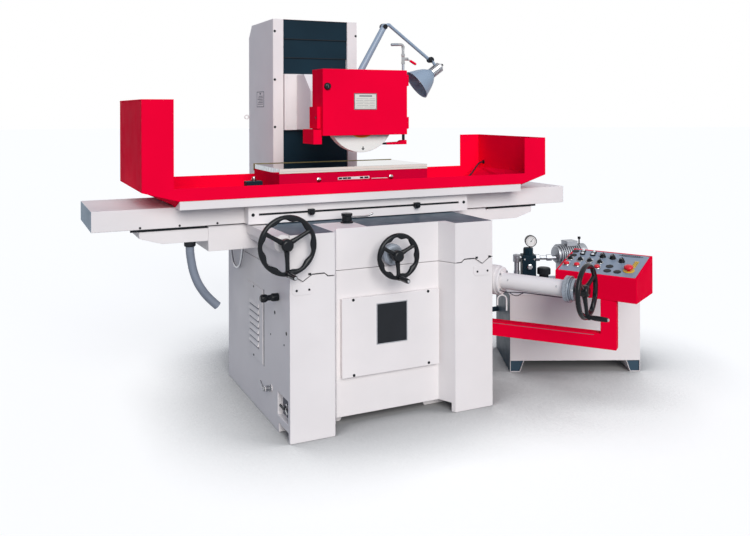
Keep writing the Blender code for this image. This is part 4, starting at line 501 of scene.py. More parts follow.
HOSE_RADIUS = 0.0195
HOSE_ROUTE = ((-0.82, 0.45, 0.8057), (-0.82, 0.45, 0.78), (-0.819, 0.45, 0.755), (-0.816, 0.45, 0.73),
    (-0.812, 0.45, 0.706), (-0.807, 0.45, 0.68), (-0.8, 0.45, 0.655), (-0.791, 0.45, 0.63), (-0.78, 0.45, 0.606),
    (-0.766, 0.45, 0.583), (-0.75, 0.45, 0.56), (-0.732, 0.45, 0.539), (-0.7135, 0.45, 0.52), (-0.695, 0.45, 0.502),)
CABLE_RADIUS = 0.0045
CABLE_ROUTE = ((1.051, 0.9, 1.08), (1.03, 0.899, 1.079), (1.011, 0.896, 1.072), (0.993, 0.891, 1.059),
    (0.974, 0.884, 1.042), (0.952, 0.876, 1.023), (0.928, 0.868, 1.005), (0.9, 0.859, 0.991), (0.868, 0.85, 0.982),
    (0.832, 0.84, 0.9775), (0.794, 0.83, 0.9772), (0.754, 0.819, 0.9772), (0.712, 0.808, 0.9772),
    (0.668, 0.797, 0.9772), (0.624, 0.787, 0.9773), (0.58, 0.778, 0.98), (0.538, 0.77, 0.987), (0.5, 0.764, 0.997),
    (0.466, 0.7593, 1.0085), (0.445, 0.759, 1.01), (0.424, 0.759, 1.01),)


def drain_hose():
    """A corrugated hose: its radius swells and narrows along it."""
    points = smooth_route(HOSE_ROUTE, 16)
    radii = [HOSE_RADIUS - 0.0016 * (0.5 - 0.5 * math.cos(2 * math.pi * k / 4)) for k in range(len(points))]
    shape = Shape().tube(points, HOSE_RADIUS, 28, radii)
    hose = shape.skin("drain_hose", HOSE, "saddle", smooth=60)


def chuck_cable():
    points = smooth_route(CABLE_ROUTE, 4)
    shape = Shape().tube(points, CABLE_RADIUS, 16)
    cable = shape.skin("chuck_cable", CABLE, "table", smooth=60)


camera()
drain_hose()
chuck_cable()

# ---------------------------------------------------------------- castings and sheet metal

SKINS = {"base_casting": (WHITE, 0.003, 3), "front_cover_plate": (WHITE, 0.002, 2),
    "side_louvre_cover": (WHITE, 0.0008, 2), "column_casting": (WHITE, 0.004, 3),
    "saddle_casting": (WHITE, 0.0015, 2), "table_casting": (WHITE, 0.0025, 3), "dog_rail": (WHITE, 0.0015, 2),
    "wheelhead_casting": (WHITE, 0.004, 3), "way_cover_top": (SLATE, 0.0006, 1),
    "way_cover_middle": (SLATE, 0.0006, 1), "way_cover_lower": (SLATE, 0.0006, 1), "spindle_motor": (SLATE, 0.001, 2),
    "spindle": (GROUND, 0.0006, 2), "guard_housing": (RED, 0.0012, 2), "guard_door": (RED, 0.002, 3),
    "splash_guard": (RED, 0.0012, 2), "chuck_body": (CHUCK_RED, 0.0015, 2), "table_cylinder": (STEEL, 0.001, 2),
    "cross_feed_screw": (GROUND, 0.001, 1), "elevating_screw": (GROUND, 0.001, 1), "panel_arm": (RED, 0.0022, 3),
    "control_box": (RED, 0.0022, 3), "control_panel": (PANEL, 0.0006, 1), "trip_dog_left": (BLACK_MATT, 0.0015, 2),
    "trip_dog_right": (BLACK_MATT, 0.0015, 2)}
for node, (look, width, segments) in SKINS.items():
    clone(node, look, width, segments)


# ---------------------------------------------------------------- base


def base_details():
    screws = Shape().screws([(x, 0.0667, z) for x, z in ((-0.185, 0.556), (0.193, 0.557), (-0.182, 0.223),
        (0.196, 0.227))], FRONT, 0.0065)
    screws.screws([(-0.5078, 0.503, z) for z in (0.562, 0.238)], LEFT, 0.005)
    screws.piece("base_cover_screws", BLACK_MATT, "root", "bright_steel")
    # Way wipers: an end plate under each V way, with chamfered lower corners, and its screws
    wipers, heads = Shape(), Shape()
    for x in (-0.446, 0.446):
        outline = [(x - 0.048, 0.664), (x - 0.048, 0.632), (x - 0.036, 0.62), (x + 0.036, 0.62), (x + 0.048, 0.632),
            (x + 0.048, 0.664), (x, 0.668)]
        wipers.prism(outline, "Y", -0.0022, 0.004, 0.0008)
        heads.screws([(x - 0.028, -0.0022, 0.64), (x + 0.028, -0.0022, 0.64)], FRONT, 0.005)
    wipers.piece("way_wiper_plates", WHITE)
    heads.piece("way_wiper_screws", BLACK_MATT, "root", "bright_steel")
    Shape().box((-0.068, 0.0652, 0.348), (0.08, 0.0675, 0.525), 0.0006).piece("front_badge", BLACK_MATT)
    rim = Shape()
    for low, high in (((-0.072, 0.344), (0.084, 0.348)), ((-0.072, 0.525), (0.084, 0.529)), ((-0.072, 0.348),
            (-0.068, 0.525)), ((0.08, 0.348), (0.084, 0.525))):
        rim.box((low[0], 0.0647, low[1]), (high[0], 0.0675, high[1]), 0.0004)
    rim.piece("front_badge_rim", STEEL)
    # Small plugs and tapped holes on the left side
    loop = Shape().tube(smooth_route([(-0.5, 0.868, 0.735), (-0.512, 0.87, 0.728), (-0.516, 0.868, 0.69),
        (-0.516, 0.85, 0.645), (-0.516, 0.812, 0.612), (-0.516, 0.765, 0.606), (-0.516, 0.715, 0.625),
        (-0.516, 0.682, 0.665), (-0.516, 0.668, 0.705), (-0.512, 0.666, 0.733), (-0.5, 0.667, 0.74)], 5), 0.0055, 16)
    loop.piece("base_sling_loop", STEEL)
    plugs = Shape()
    for y, z, radius in ((0.199, 0.507, 0.008), (0.045, 0.453, 0.008), (0.258, 0.397, 0.0042),
            (0.074, 0.397, 0.0042)):
        plugs.turned(((radius, -0.003), (radius, 0.0008), (radius * 0.8, 0.0015)), (-0.5035, y, z), LEFT, 24)
    plugs.piece("base_side_plugs", BLACK_MATT)
    throats, hoods = Shape(), Shape()
    bottom, top, margin, count = 0.229, 0.572, 0.065, 7
    pitch = (top - bottom - 2 * margin) / count
    for number in range(count):
        low = bottom + margin + number * pitch
        # A dark strip under each louvre hood paints the shade in its opening
        throats.box((-0.5092, 0.42, low - 0.0075), (-0.5075, 0.563, low + 0.001))
        hoods.prism([(-0.5078, low + 0.0005), (-0.5152, low + 0.002), (-0.5156, low + 0.0034),
            (-0.5078, low + 0.025)], "Y", 0.419, 0.564, 0.0006)
    throats.piece("louvre_throat_shade", DARK_MARKS_AND_SHADE)
    hoods.piece("louvre_hoods", WHITE)
    Shape().box((-0.5048, 0.352, 0.225), (-0.503, 0.358, 0.576), 0.0004).piece("louvre_gasket", DARK_MARKS_AND_SHADE)


def oil_sump_fittings():
    """The pocket's drain valve, the drain cock, and the lubricator's pull knob."""
    # A dark sheet at the back of the pocket paints the shade inside it
    Shape().box((-0.48, 0.029, 0.074), (-0.4788, 0.161, 0.17)).piece("pocket_shade_liner", DARK_MARKS_AND_SHADE)
    valve = Shape().turned(((0.017, 0), (0.017, 0.006), (0.011, 0.008), (0.011, 0.02)), (-0.4795, 0.1, 0.118), LEFT,
        32)
    valve.tube([(-0.488, 0.1, 0.118), (-0.492, 0.078, 0.114), (-0.493, 0.052, 0.104)], 0.007, 16)
    valve.piece("pocket_valve", CHROME)
    Shape().box((-0.5015, 0.088, 0.112), (-0.496, 0.146, 0.124), 0.002, 3).piece("pocket_valve_handle", BLACK)
    sleeve = Shape().lathe(((0.009, 0.006), (0.0155, 0.006), (0.0155, 0.011), (0.0118, 0.012), (0.0118, 0.02),
        (0.0128, 0.021), (0.0128, 0.027), (0.0118, 0.028), (0.0118, 0.0318), (0.009, 0.0318)), (-0.5015, 0.25, 0.16),
        LEFT, 40)
    sleeve.piece("drain_cock_sleeve", CHROME)
    lever = Shape()
    x = -0.5358
    lever.turned(((0.01, 0), (0.01, 0.005), (0.008, 0.007)), (x, 0.25, 0.16), LEFT, 32)
    lever.tube([(x - 0.0045, 0.254, 0.162), (x - 0.0045, 0.272, 0.172), (x - 0.0045, 0.2875, 0.1803),
        (x - 0.0045, 0.2945, 0.184)], 0.004, 16, [0.0036, 0.0034, 0.0042, 0.003])
    lever.skin("drain_cock_lever", CHROME)
    knob = Shape()
    waist, wide, end = 0.012, 0.0175, 0.082
    knob.turned(((waist, 0), (0.0155, 0.001), (wide, 0.004), (wide, 0.027), (0.0155, 0.032), (waist, 0.037),
        (waist, 0.049), (0.0155, 0.054), (wide, 0.059), (wide, end - 0.008), (0.015, end - 0.003), (0.011, end)),
        (-0.5038, 0.148, 0.587), LEFT, 48)
    knob.skin("lubricator_knob", BLACK)


base_details()
oil_sump_fittings()

# ---------------------------------------------------------------- handwheels


def scalloped_rim(centre, radius):
    """A handwheel's rim about the Y axis, with finger hollows round its inside."""
    tube, turns, around, waves = 0.0115, 162, 16, 9
    bm = bmesh.new()
    rings = []
    for k in range(turns):
        angle = 2 * math.pi * k / turns
        ring = []
        for m in range(around):
            lean = 2 * math.pi * m / around
            swell = 1.0 + 0.45 * max(0.0, -math.cos(lean)) * math.cos(waves * angle)
            out = radius + tube * swell * math.cos(lean)
            ring.append(bm.verts.new(Vector(centre) + Vector((out * math.cos(angle), tube * math.sin(lean),
                out * math.sin(angle)))))
        rings.append(ring)
    for first, second in zip(rings, rings[1:] + rings[:1]):
        for m in range(around):
            bm.faces.new((first[m], first[(m + 1) % around], second[(m + 1) % around], second[m]))
    return bm


def handwheel(node, place, centre, radius, shaft_end, body):
    x, y, z = centre
    wheel = Shape(place).take(scalloped_rim(centre, radius))
    wheel.lathe(((0, 0.0015), (0.008, 0.001), (0.016, 0.0), (0.021, 0.0022), (0.0255, 0.007), (0.027, 0.012),
        (0.027, 0.034), (0.0255, 0.041), (0.022, 0.044), (0, 0.044)), (x, y - 0.012, z), BACK, 56)
    wheel.rod((x, y + 0.02, z), (x, shaft_end, z), 0.012, 32)
    for angle in (30, 150, 270):
        lean = math.radians(angle)
        spokes = []
        for k in range(7):
            t = k / 6
            reach = 0.018 + (radius - 0.02) * t
            spokes.append((x + reach * math.cos(lean), y + 0.012 * (1 - t) ** 1.4, z + reach * math.sin(lean)))
        wheel.tube(spokes, 0.008, 18, [0.013, 0.011, 0.0098, 0.009, 0.0088, 0.0092, 0.0105])
    low = z - radius
    wheel.turned(((0.0125, -0.008), (0.0135, -0.006), (0.0135, 0.011), (0.0115, 0.016)), (x, y, low), FRONT, 36)
    wheel.skin(node, BLACK, body, smooth=50)
    bright = Shape(place)
    end = y - 0.1
    bright.rod((x, y - 0.01, low), (x, end + 0.004, low), 0.0045, 20)
    bright.turned(((0.005, 0), (0.0066, 0.0012), (0.0068, 0.003), (0.0068, 0.007)), (x, end, low), BACK, 28)
    bright.lathe(((0, -0.004), (0.0052, -0.004), (0.0052, 0.001), (0.003, 0.0022), (0, 0.0024)),
        (x - 0.013, y - 0.002, low), LEFT, 20)
    bright.piece(node + "_bright", CHROME, body)
    grip = Shape(place).lathe(((0.0048, 0), (0.009, 0), (0.0097, 0.0012), (0.0106, 0.01), (0.0115, 0.026),
        (0.0115, 0.05), (0.0108, 0.068), (0.0097, 0.0768), (0.009, 0.078), (0.0075, 0.078), (0.0075, 0.072),
        (0.0048, 0.072)), (x, y - 0.0163, low), FRONT, 36)
    grip.skin(node + "_grip", BLACK, smooth=40)


def ticks(shape, place, radius, start, long_mark, short_mark, count):
    """Graduations round a dial that turns about the Y axis."""
    for k in range(count):
        reach = long_mark if k % 5 == 0 else short_mark
        turn = Matrix.Translation(place) @ Matrix.Rotation(2 * math.pi * k / count, 4, "Y")
        shape.box((-0.0006, start, radius - 0.0006), (0.0006, start + reach, radius + 0.00025), turn=turn)


def dials():
    place = (0.006, 0.0432, 0.744)
    cross = Shape().turned(((0.033, 0), (0.04, 0.0015), (0.0475, 0.0095), (0.048, 0.011), (0.048, 0.031),
        (0.0475, 0.032)), place, BACK, 96)
    cross.piece("cross_dial", DIAL, "cross_drive")
    marks = Shape()
    ticks(marks, place, 0.048, 0.012, 0.01, 0.006, 60)
    marks.piece("cross_dial_marks", BLACK_MATT, "cross_drive")
    dial = Shape(LIFT)
    start = -0.4633
    dial.lathe(((0.0128, 0), (0.0585, 0), (0.06, 0.0015), (0.06, 0.024), (0.0585, 0.026), (0.05, 0.0272),
        (0.05, 0.046), (0.048, 0.048), (0.0128, 0.048)), (0, start, 0), FRONT, 96)
    dial.skin("elevating_dial", DIAL)
    marks = Shape(LIFT)
    ticks(marks, (0, start, 0), 0.06, -0.022, 0.011, 0.007, 60)
    marks.lathe(((0.0496, 0.0335), (0.0503, 0.0335), (0.0503, 0.036), (0.0496, 0.036)), (0, start, 0), FRONT, 96)
    marks.piece("elevating_dial_marks", BLACK_MATT, "elevating_dial")
    lock = Shape(LIFT).screw((-0.049, start - 0.041, 0.008), LEFT, 0.0055, 0.0022)
    lock.piece("elevating_dial_lock", CHROME, "elevating_dial")


def elevating_tube():
    shape = Shape(LIFT).turned(((0.07, -0.06), (0.07, 0.126), (0.067, 0.131)), (0, 0, 0), FRONT, 96)
    shape.turned(((0.061, 0.127), (0.064, 0.13), (0.064, 0.146), (0.061, 0.149)), (0, 0, 0), FRONT, 96)
    shape.lathe(((0.0125, 0.137), (0.039, 0.137), (0.039, 0.458), (0.037, 0.463), (0.0125, 0.463)), (0, 0, 0), FRONT,
        96)
    shape.skin("elevating_tube", WHITE, "root", smooth=40)
    screws = Shape(LIFT)
    for k in range(4):
        lean = math.radians(45 + 90 * k)
        screws.screw((0.052 * math.cos(lean), -0.149, 0.052 * math.sin(lean)), FRONT, 0.0058, 0.005)
    for along in (0.19, 0.43):
        screws.screw((-0.0385 * 0.94, -along, 0.0385 * 0.34), (-0.94, 0, 0.34), 0.0045, 0.0016)
    screws.piece("elevating_tube_screws", STEEL)
    hook = Shape(MACHINE @ placed(0.57, 0.019, 0.489, -25)).tube([(-0.0215, 0, -0.026), (-0.0215, 0, -0.008),
        *arc((0, 0, 0), 0.0215, 180, 0, 16), (0.0215, 0, -0.03), (0.0215, 0, -0.052)], 0.0036, 14)
    hook.tube([(0.004, 0.012, 0.04), (0.003, 0.004, 0.03), (0, 0, 0.0215)], 0.0032, 12)
    hook.piece("cable_hook", WHITE)
    wire = Shape(LIFT).tube(smooth_route([(-0.03, -0.15, -0.042), (-0.03, -0.18, -0.046), (-0.022, -0.22, -0.0435),
        (-0.018, -0.27, -0.04), (-0.014, -0.33, -0.0405), (-0.012, -0.39, -0.0405), (-0.01, -0.44, -0.0405),
        (-0.008, -0.458, -0.0395)], 4), 0.0022, 8)
    wire.tube(smooth_route([(-0.03, -0.196, -0.046), (-0.026, -0.212, -0.056), (-0.022, -0.232, -0.058),
        (-0.018, -0.246, -0.05), (-0.017, -0.262, -0.041)], 4), 0.002, 8)
    wire.piece("elevating_wire", CABLE)


handwheel("table_handwheel", MACHINE, (-0.533, -0.058, 0.842), 0.115, 0.15, "table_handwheel")
handwheel("cross_handwheel", MACHINE, (0.006, 0.0, 0.744), 0.093, 0.083, "cross_drive")
handwheel("elevating_handwheel", LIFT, (0, -0.559, 0), 0.115, -0.3, "elevating_handwheel")
dials()
elevating_tube()

# ---------------------------------------------------------------- saddle and table


def saddle_details():
    collar = Shape().lathe(((0.0125, 0), (0.034, 0), (0.036, 0.002), (0.036, 0.007), (0.0125, 0.007)),
        (-0.533, 0.0118, 0.842), FRONT, 64)
    collar.piece("handwheel_collar", WHITE, "saddle")
    neck = Shape().lathe(((0.0125, 0), (0.02, 0), (0.02, 0.03), (0.0185, 0.032), (0.0125, 0.032)),
        (-0.533, 0.0048, 0.842), FRONT, 48)
    neck.piece("handwheel_neck", STEEL, "table_handwheel")
    # Thin dark plates on the saddle's top paint the shade under the table
    top = Shape().box((-0.4995, 0.004, 0.8726), (-0.302, 0.415, 0.8736), 0.0004)
    top.box((0.302, 0.004, 0.8726), (0.4995, 0.415, 0.8736), 0.0004)
    top.box((-0.302, 0.27, 0.8726), (-0.106, 0.415, 0.8736), 0.0004)
    top.box((-0.106, 0.0925, 0.8726), (0.302, 0.415, 0.8736), 0.0004)
    top.piece("saddle_top_shade_plates", SHADE_SLATE, "saddle")
    # Felt wipers along the parting line, and the pads at the tops of the V ways
    felt, pads = Shape(), Shape()
    line = [(-0.503, 0.7025), (-0.489, 0.7025), (-0.446, 0.6745), (-0.403, 0.7025), (-0.3485, 0.7025),
        (-0.3345, 0.6885), (-0.306, 0.6885)]
    for (x, z), (far_x, far_z) in zip(line, line[1:]):
        for side in (-1, 1):
            felt.prism([(side * x, z), (side * far_x, far_z), (side * far_x, far_z + 0.003), (side * x, z + 0.003)],
                "Y", -0.0008, 0.0005)
    for x in (-0.497, -0.415, 0.415, 0.486):
        pads.box((x - 0.0065, -0.0022, 0.7005), (x + 0.0065, 0.002, 0.7095), 0.0006)
    felt.piece("parting_wipers", BLACK_MATT, "saddle")
    pads.piece("way_wiper_pads", BLACK_MATT, "saddle")
    # The reversing lever: a turned post with a bent bright handle
    x, y, low = -0.142, 0.235, 0.8733
    post = Shape().lathe(((0, -0.01), (0.008, -0.01), (0.008, 0), (0.0285, 0), (0.03, 0.0012), (0.03, 0.007),
        (0.0285, 0.0082), (0.0235, 0.01), (0.0225, 0.029), (0.0262, 0.0345), (0.0262, 0.0425), (0.0245, 0.0448),
        (0, 0.045)), (x, y, low), UP, 56)
    post.skin("reversing_lever", BLACK)
    bar = Shape()
    high = low + 0.026
    bar.tube(smooth_route([(x + 0.018, y, high), (x + 0.06, y, high), (x + 0.095, y, high),
        (x + 0.112, y, high + 0.002), (x + 0.124, y, high + 0.008), (x + 0.131, y, high + 0.011)], 4), 0.0037, 14)
    bar.lathe(((0, 0), (0.0036, 0.0008), (0.0052, 0.004), (0.0052, 0.009), (0.0036, 0.012), (0, 0.0125)),
        (x + 0.1225, y, high + 0.0065), (0.92, 0, 0.38), 20)
    bar.piece("reversing_lever_bar", CHROME, "reversing_lever")
    strips = Shape().box((-1.083, 0.4285, 0.8645), (-0.747, 0.4325, 0.8758), 0.0006)
    strips.box((0.759, 0.4285, 0.8645), (1.075, 0.4325, 0.8758), 0.0006)
    strips.piece("tray_wiper_strips", BLACK_MATT, "saddle")
    socket = Shape().lathe(((0.014, 0), (0.026, 0), (0.026, 0.018), (0.0235, 0.022), (0.014, 0.022)),
        (-0.82, 0.45, 0.8058), (0, 0, -1), 40)
    socket.piece("hose_socket", BLACK_MATT, "saddle")


def table_details():
    screws = Shape().screws([(x, 0.403, 0.886) for x in (-1.045, -0.875, -0.706)], FRONT, 0.005)
    screws.screws([(x, 0.342, 0.921) for x in (-0.558, 0.558)], FRONT, 0.0075, 0.003)
    screws.piece("table_screws", BLACK_MATT, "table")
    # Thin blue-grey caps on the table's end faces paint the shade there
    caps = Shape()
    for side in (-1, 1):
        low, high = sorted((side * 1.2455, side * 1.2466))
        caps.box((low, 0.4045, 0.8795), (high, 0.8575, 0.9665), 0.0004)
    caps.piece("table_end_shade_caps", END_SHADE, "table")
    apron = Shape().prism([(0.3122, 1.0022), (0.4026, 0.9688), (0.4026, 0.9645), (0.3122, 0.9645)], "X", -0.893,
        0.893)
    apron.piece("tray_stiffener", WHITE, "table")
    Shape().box((-0.529, 0.3515, 0.9162), (0.529, 0.3535, 0.9258)).piece("dog_slot_floor", BLACK_MATT, "table")
    for side, x in (("left", -0.28), ("right", 0.28)):
        knob = Shape().lathe(((0, 0), (0.0095, 0), (0.01, 0.001), (0.01, 0.006), (0.0085, 0.0075), (0, 0.008)),
            (x, 0.3219, 0.921), FRONT, 12)
        knob.piece(f"trip_dog_{side}_knob", BLACK, f"trip_dog_{side}")


def chuck_details():
    Shape().box((-0.4, 0.441, 1.0933), (0.4, 0.845, 1.117), 0.0008, 2).skin("chuck_top_plate", CHUCK_FACE, "table")
    Shape().box((-0.3992, 0.4398, 1.1035), (0.3992, 0.4412, 1.116), 0.0004).piece("chuck_edge_strip", CREAM, "table")
    Shape().box((-0.3992, 0.4396, 1.094), (0.3992, 0.4412, 1.1015), 0.0004).piece("chuck_brass_strip", CREAM, "table")
    Shape().box((-0.404, 0.8452, 1.084), (0.396, 0.849, 1.1198), 0.0008).piece("chuck_back_rail", BRASS, "table")
    nuts = Shape()
    for x in (-0.2, 0.19):
        nuts.lathe(((0, -0.003), (0.0125, -0.003), (0.0125, 0.003), (0.009, 0.0045), (0, 0.0055)), (x, 0.441, 1.0575),
            FRONT, 6)
    nuts.piece("chuck_side_nuts", CHROME, "table")
    label = Shape().box((-0.1, 0.44, 1.054), (0.07, 0.4414, 1.067), 0.0003)
    label.box((0.082, 0.44, 1.053), (0.17, 0.4414, 1.056), 0.0003)
    label.piece("chuck_side_strip", LENS, "table", "bright_steel")
    mark = Shape()
    for low, high in ((-0.096, -0.078), (-0.074, -0.052), (-0.049, -0.03), (0.018, 0.036), (0.042, 0.064)):
        mark.box((low, 0.4394, 1.0562), (high, 0.4404, 1.0648), 0.0002)
    mark.piece("chuck_strip_marks", BLACK_MATT, "table")
    clamp = Shape().box((-0.532, 0.53, 0.973), (-0.452, 0.58, 1.056), 0.003)
    clamp.box((-0.455, 0.53, 0.973), (-0.4006, 0.58, 1.028), 0.003)
    clamp.piece("chuck_clamp", SLATE, "table")
    bolt = Shape().lathe(((0, 0), (0.012, 0), (0.012, 0.009), (0.009, 0.01), (0.009, 0.016), (0.0075, 0.02),
        (0, 0.021)), (-0.49, 0.555, 1.056), UP, 24)
    bolt.piece("chuck_clamp_bolt", CHROME, "table")


def splash_details():
    grommet = Shape().lathe(((0.0049, 0), (0.0105, 0), (0.012, 0.0015), (0.012, 0.0035), (0.0049, 0.0035)),
        (1.047, 0.9, 1.08), LEFT, 32)
    grommet.piece("cable_grommet", BLACK_MATT, "table")
    lips = Shape()
    for x, top in ((-1.051, 1.444), (1.049, 1.245)):
        lips.tube([(x, 0.3115, top - 0.0035), (x, 0.9555, top - 0.0035)], 0.0034, 10)
    lips.piece("screen_top_beads", RED, "table")


saddle_details()
table_details()
chuck_details()
splash_details()

# ---------------------------------------------------------------- column and wheelhead


def column_details():
    screws = Shape().screws([(x, 0.9884, z) for x, z in ((-0.24, 1.826), (-0.24, 1.562), (-0.24, 1.304),
        (0.242, 1.816), (0.242, 1.562), (0.242, 1.304))], FRONT, 0.0068)
    screws.piece("column_strip_screws", BLACK_MATT, "root", "bright_steel")
    strip = Shape()
    for x in (-0.25, 0.19):
        strip.box((x + 0.0015, 0.9882, 0.701), (x + 0.0585, 0.9904, 1.8905), 0.0006)
    strip.piece("column_way_strips", WHITE)
    line = Shape()
    for low, high in (((1.156, 1.413), (1.28, 1.4165)), ((1.156, 1.4975), (1.28, 1.501)), ((1.152, 1.413),
            (1.156, 1.501)), ((1.28, 1.413), (1.284, 1.501))):
        line.box((-0.2512, low[0], low[1]), (-0.2495, high[0], high[1]), 0.0003)
    line.piece("column_plate_rim", DARK_MARKS_AND_SHADE)
    Shape().box((-0.2508, 1.156, 1.4165), (-0.2495, 1.28, 1.4975), 0.0003).piece("column_plate", WHITE)
    marks = Shape()
    for k in range(6):
        low, high = 1.428 + 0.009 * k, 1.4315 + 0.009 * k
        marks.box((-0.2512, 1.166 + 0.006 * (k % 2), low), (-0.2505, 1.268 - 0.01 * (k % 3), high), 0.0002)
    marks.box((-0.2512, 1.205, 1.4845), (-0.2505, 1.231, 1.4935), 0.0002)
    marks.piece("column_plate_marks", DARK_MARKS_AND_SHADE)
    eye = Shape().rod((-0.249, 1.442, 1.355), (-0.2565, 1.442, 1.355), 0.0045, 16)
    eye.lathe(((0.0085, -0.003), (0.0145, -0.003), (0.0145, 0.003), (0.0085, 0.003)), (-0.2655, 1.442, 1.355), BACK,
        32, 0.0012)
    eye.piece("column_eye", WHITE)
    seams = Shape().box((-0.1885, 0.9942, 1.785), (0.1885, 0.9957, 1.7885), 0.0004)
    seams.box((-0.1885, 0.9992, 1.682), (0.1885, 1.0007, 1.6855), 0.0004)
    seams.piece("way_cover_wipers", BLACK_MATT)


def head_details():
    screws = Shape().screws([(x, 0.97, z) for x in (-0.176, 0.176) for z in (1.305, 1.575)], FRONT, 0.006)
    screws.piece("head_screws", WHITE, "wheelhead", "bright_steel")
    Shape().box((-0.1878, 1.005, 1.5935), (0.1878, 1.0056, 1.7295)).piece("head_apron_face", SLATE, "wheelhead")
    ring = Shape().lathe(((0.0925, 0), (0.0965, 0), (0.0965, 0.01), (0.0925, 0.01)), (0, 0.7, 1.367), BACK, 96)
    ring.piece("snout_ring", WHITE, "wheelhead")
    plug = Shape().lathe(((0, -0.003), (0.006, -0.003), (0.006, 0.001), (0, 0.0015)), (-0.236, 0.385, 1.36), LEFT, 24)
    plug.piece("lug_plug", BLACK_MATT, "wheelhead")


def wheel_details():
    centre = (0, 0.376, 1.367)
    wheel = Shape().lathe(((0.0635, 0), (0.176, 0), (0.1775, 0.0015), (0.1775, 0.0465), (0.176, 0.048),
        (0.0635, 0.048)), centre, BACK, 144)
    wheel.skin("grinding_wheel", GRIT, "wheel_spindle")
    for name, mat, inner, outer, rise in (("inner", RED_PLASTIC, 0.064, 0.0955, 0.00075),
            ("middle", ORANGE, 0.0955, 0.1035, 0.00065), ("outer", YELLOW, 0.1035, 0.107, 0.00055)):
        ring = Shape().lathe(((inner, 0.0004), (inner, -rise), (outer, -rise), (outer, 0.0004)), centre,
            BACK, 96)
        ring.piece("blotter_" + name, mat, "wheel_spindle", "abrasive")
    arrow = Shape().prism([(0.0085, 1.2175), (0.0085, 1.2085), (0.015, 1.2085), (0.006, 1.1985), (-0.003, 1.2085),
        (0.0035, 1.2085), (0.0035, 1.2175)], "Y", 0.3755, 0.3764)
    arrow.piece("wheel_turn_mark", BLACK_MATT, "wheel_spindle", "abrasive")


def guard_details():
    x, z = -0.195, 1.508
    knob = Shape().lathe(((0, 0), (0.01, 0.0006), (0.0145, 0.003), (0.0168, 0.0065), (0.0172, 0.01), (0.0172, 0.0128),
        (0.006, 0.0132), (0.006, 0.024), (0, 0.024)), (x, 0.3265, z), BACK, 48)
    knob.skin("door_latch", BLACK)
    mark = Shape().box((x - 0.0012, 0.3258, z - 0.007), (x + 0.0012, 0.3275, z + 0.007), 0.0004)
    mark.piece("door_latch_mark", DARK_MARKS_AND_SHADE, "door_latch", "black_plastic")
    rim = Shape().box((-0.057, 0.3388, 1.397), (0.064, 0.3404, 1.476), 0.0006)
    rim.piece("door_plate_rim", DARK_MARKS_AND_SHADE, "guard_door", "bright_steel")
    plate = Shape().box((-0.053, 0.3383, 1.401), (0.06, 0.3395, 1.472), 0.0004)
    plate.piece("door_plate", CREAM, "guard_door", "lamp_grey")
    rules = Shape()
    for row, height in enumerate((1.409, 1.417, 1.425, 1.433, 1.441, 1.449)):
        for low, high in (((-0.047, -0.01), (-0.004, 0.054)), ((-0.044, 0.018), (0.024, 0.052)))[row % 2]:
            rules.box((low, 0.338, height), (high, 0.33845, height + 0.0012))
    rules.box((-0.03, 0.338, 1.46), (0.038, 0.33845, 1.466))
    rules.piece("door_plate_rules", DARK_MARKS_AND_SHADE, "guard_door", "lamp_grey")
    rivets = Shape().screws([(x, 0.3384, z) for x in (-0.049, 0.056) for z in (1.4045, 1.4685)], FRONT, 0.0018,
        0.0006)
    rivets.piece("door_plate_rivets", STEEL, "guard_door")
    pins = Shape()
    for low, high in ((1.515, 1.569), (1.303, 1.36)):
        pins.turned(((0.003, -0.002), (0.0042, -0.0008), (0.0042, 0.004)), (0.2385, 0.352, low), UP, 20)
    pins.piece("hinge_pins", STEEL, "wheelhead")


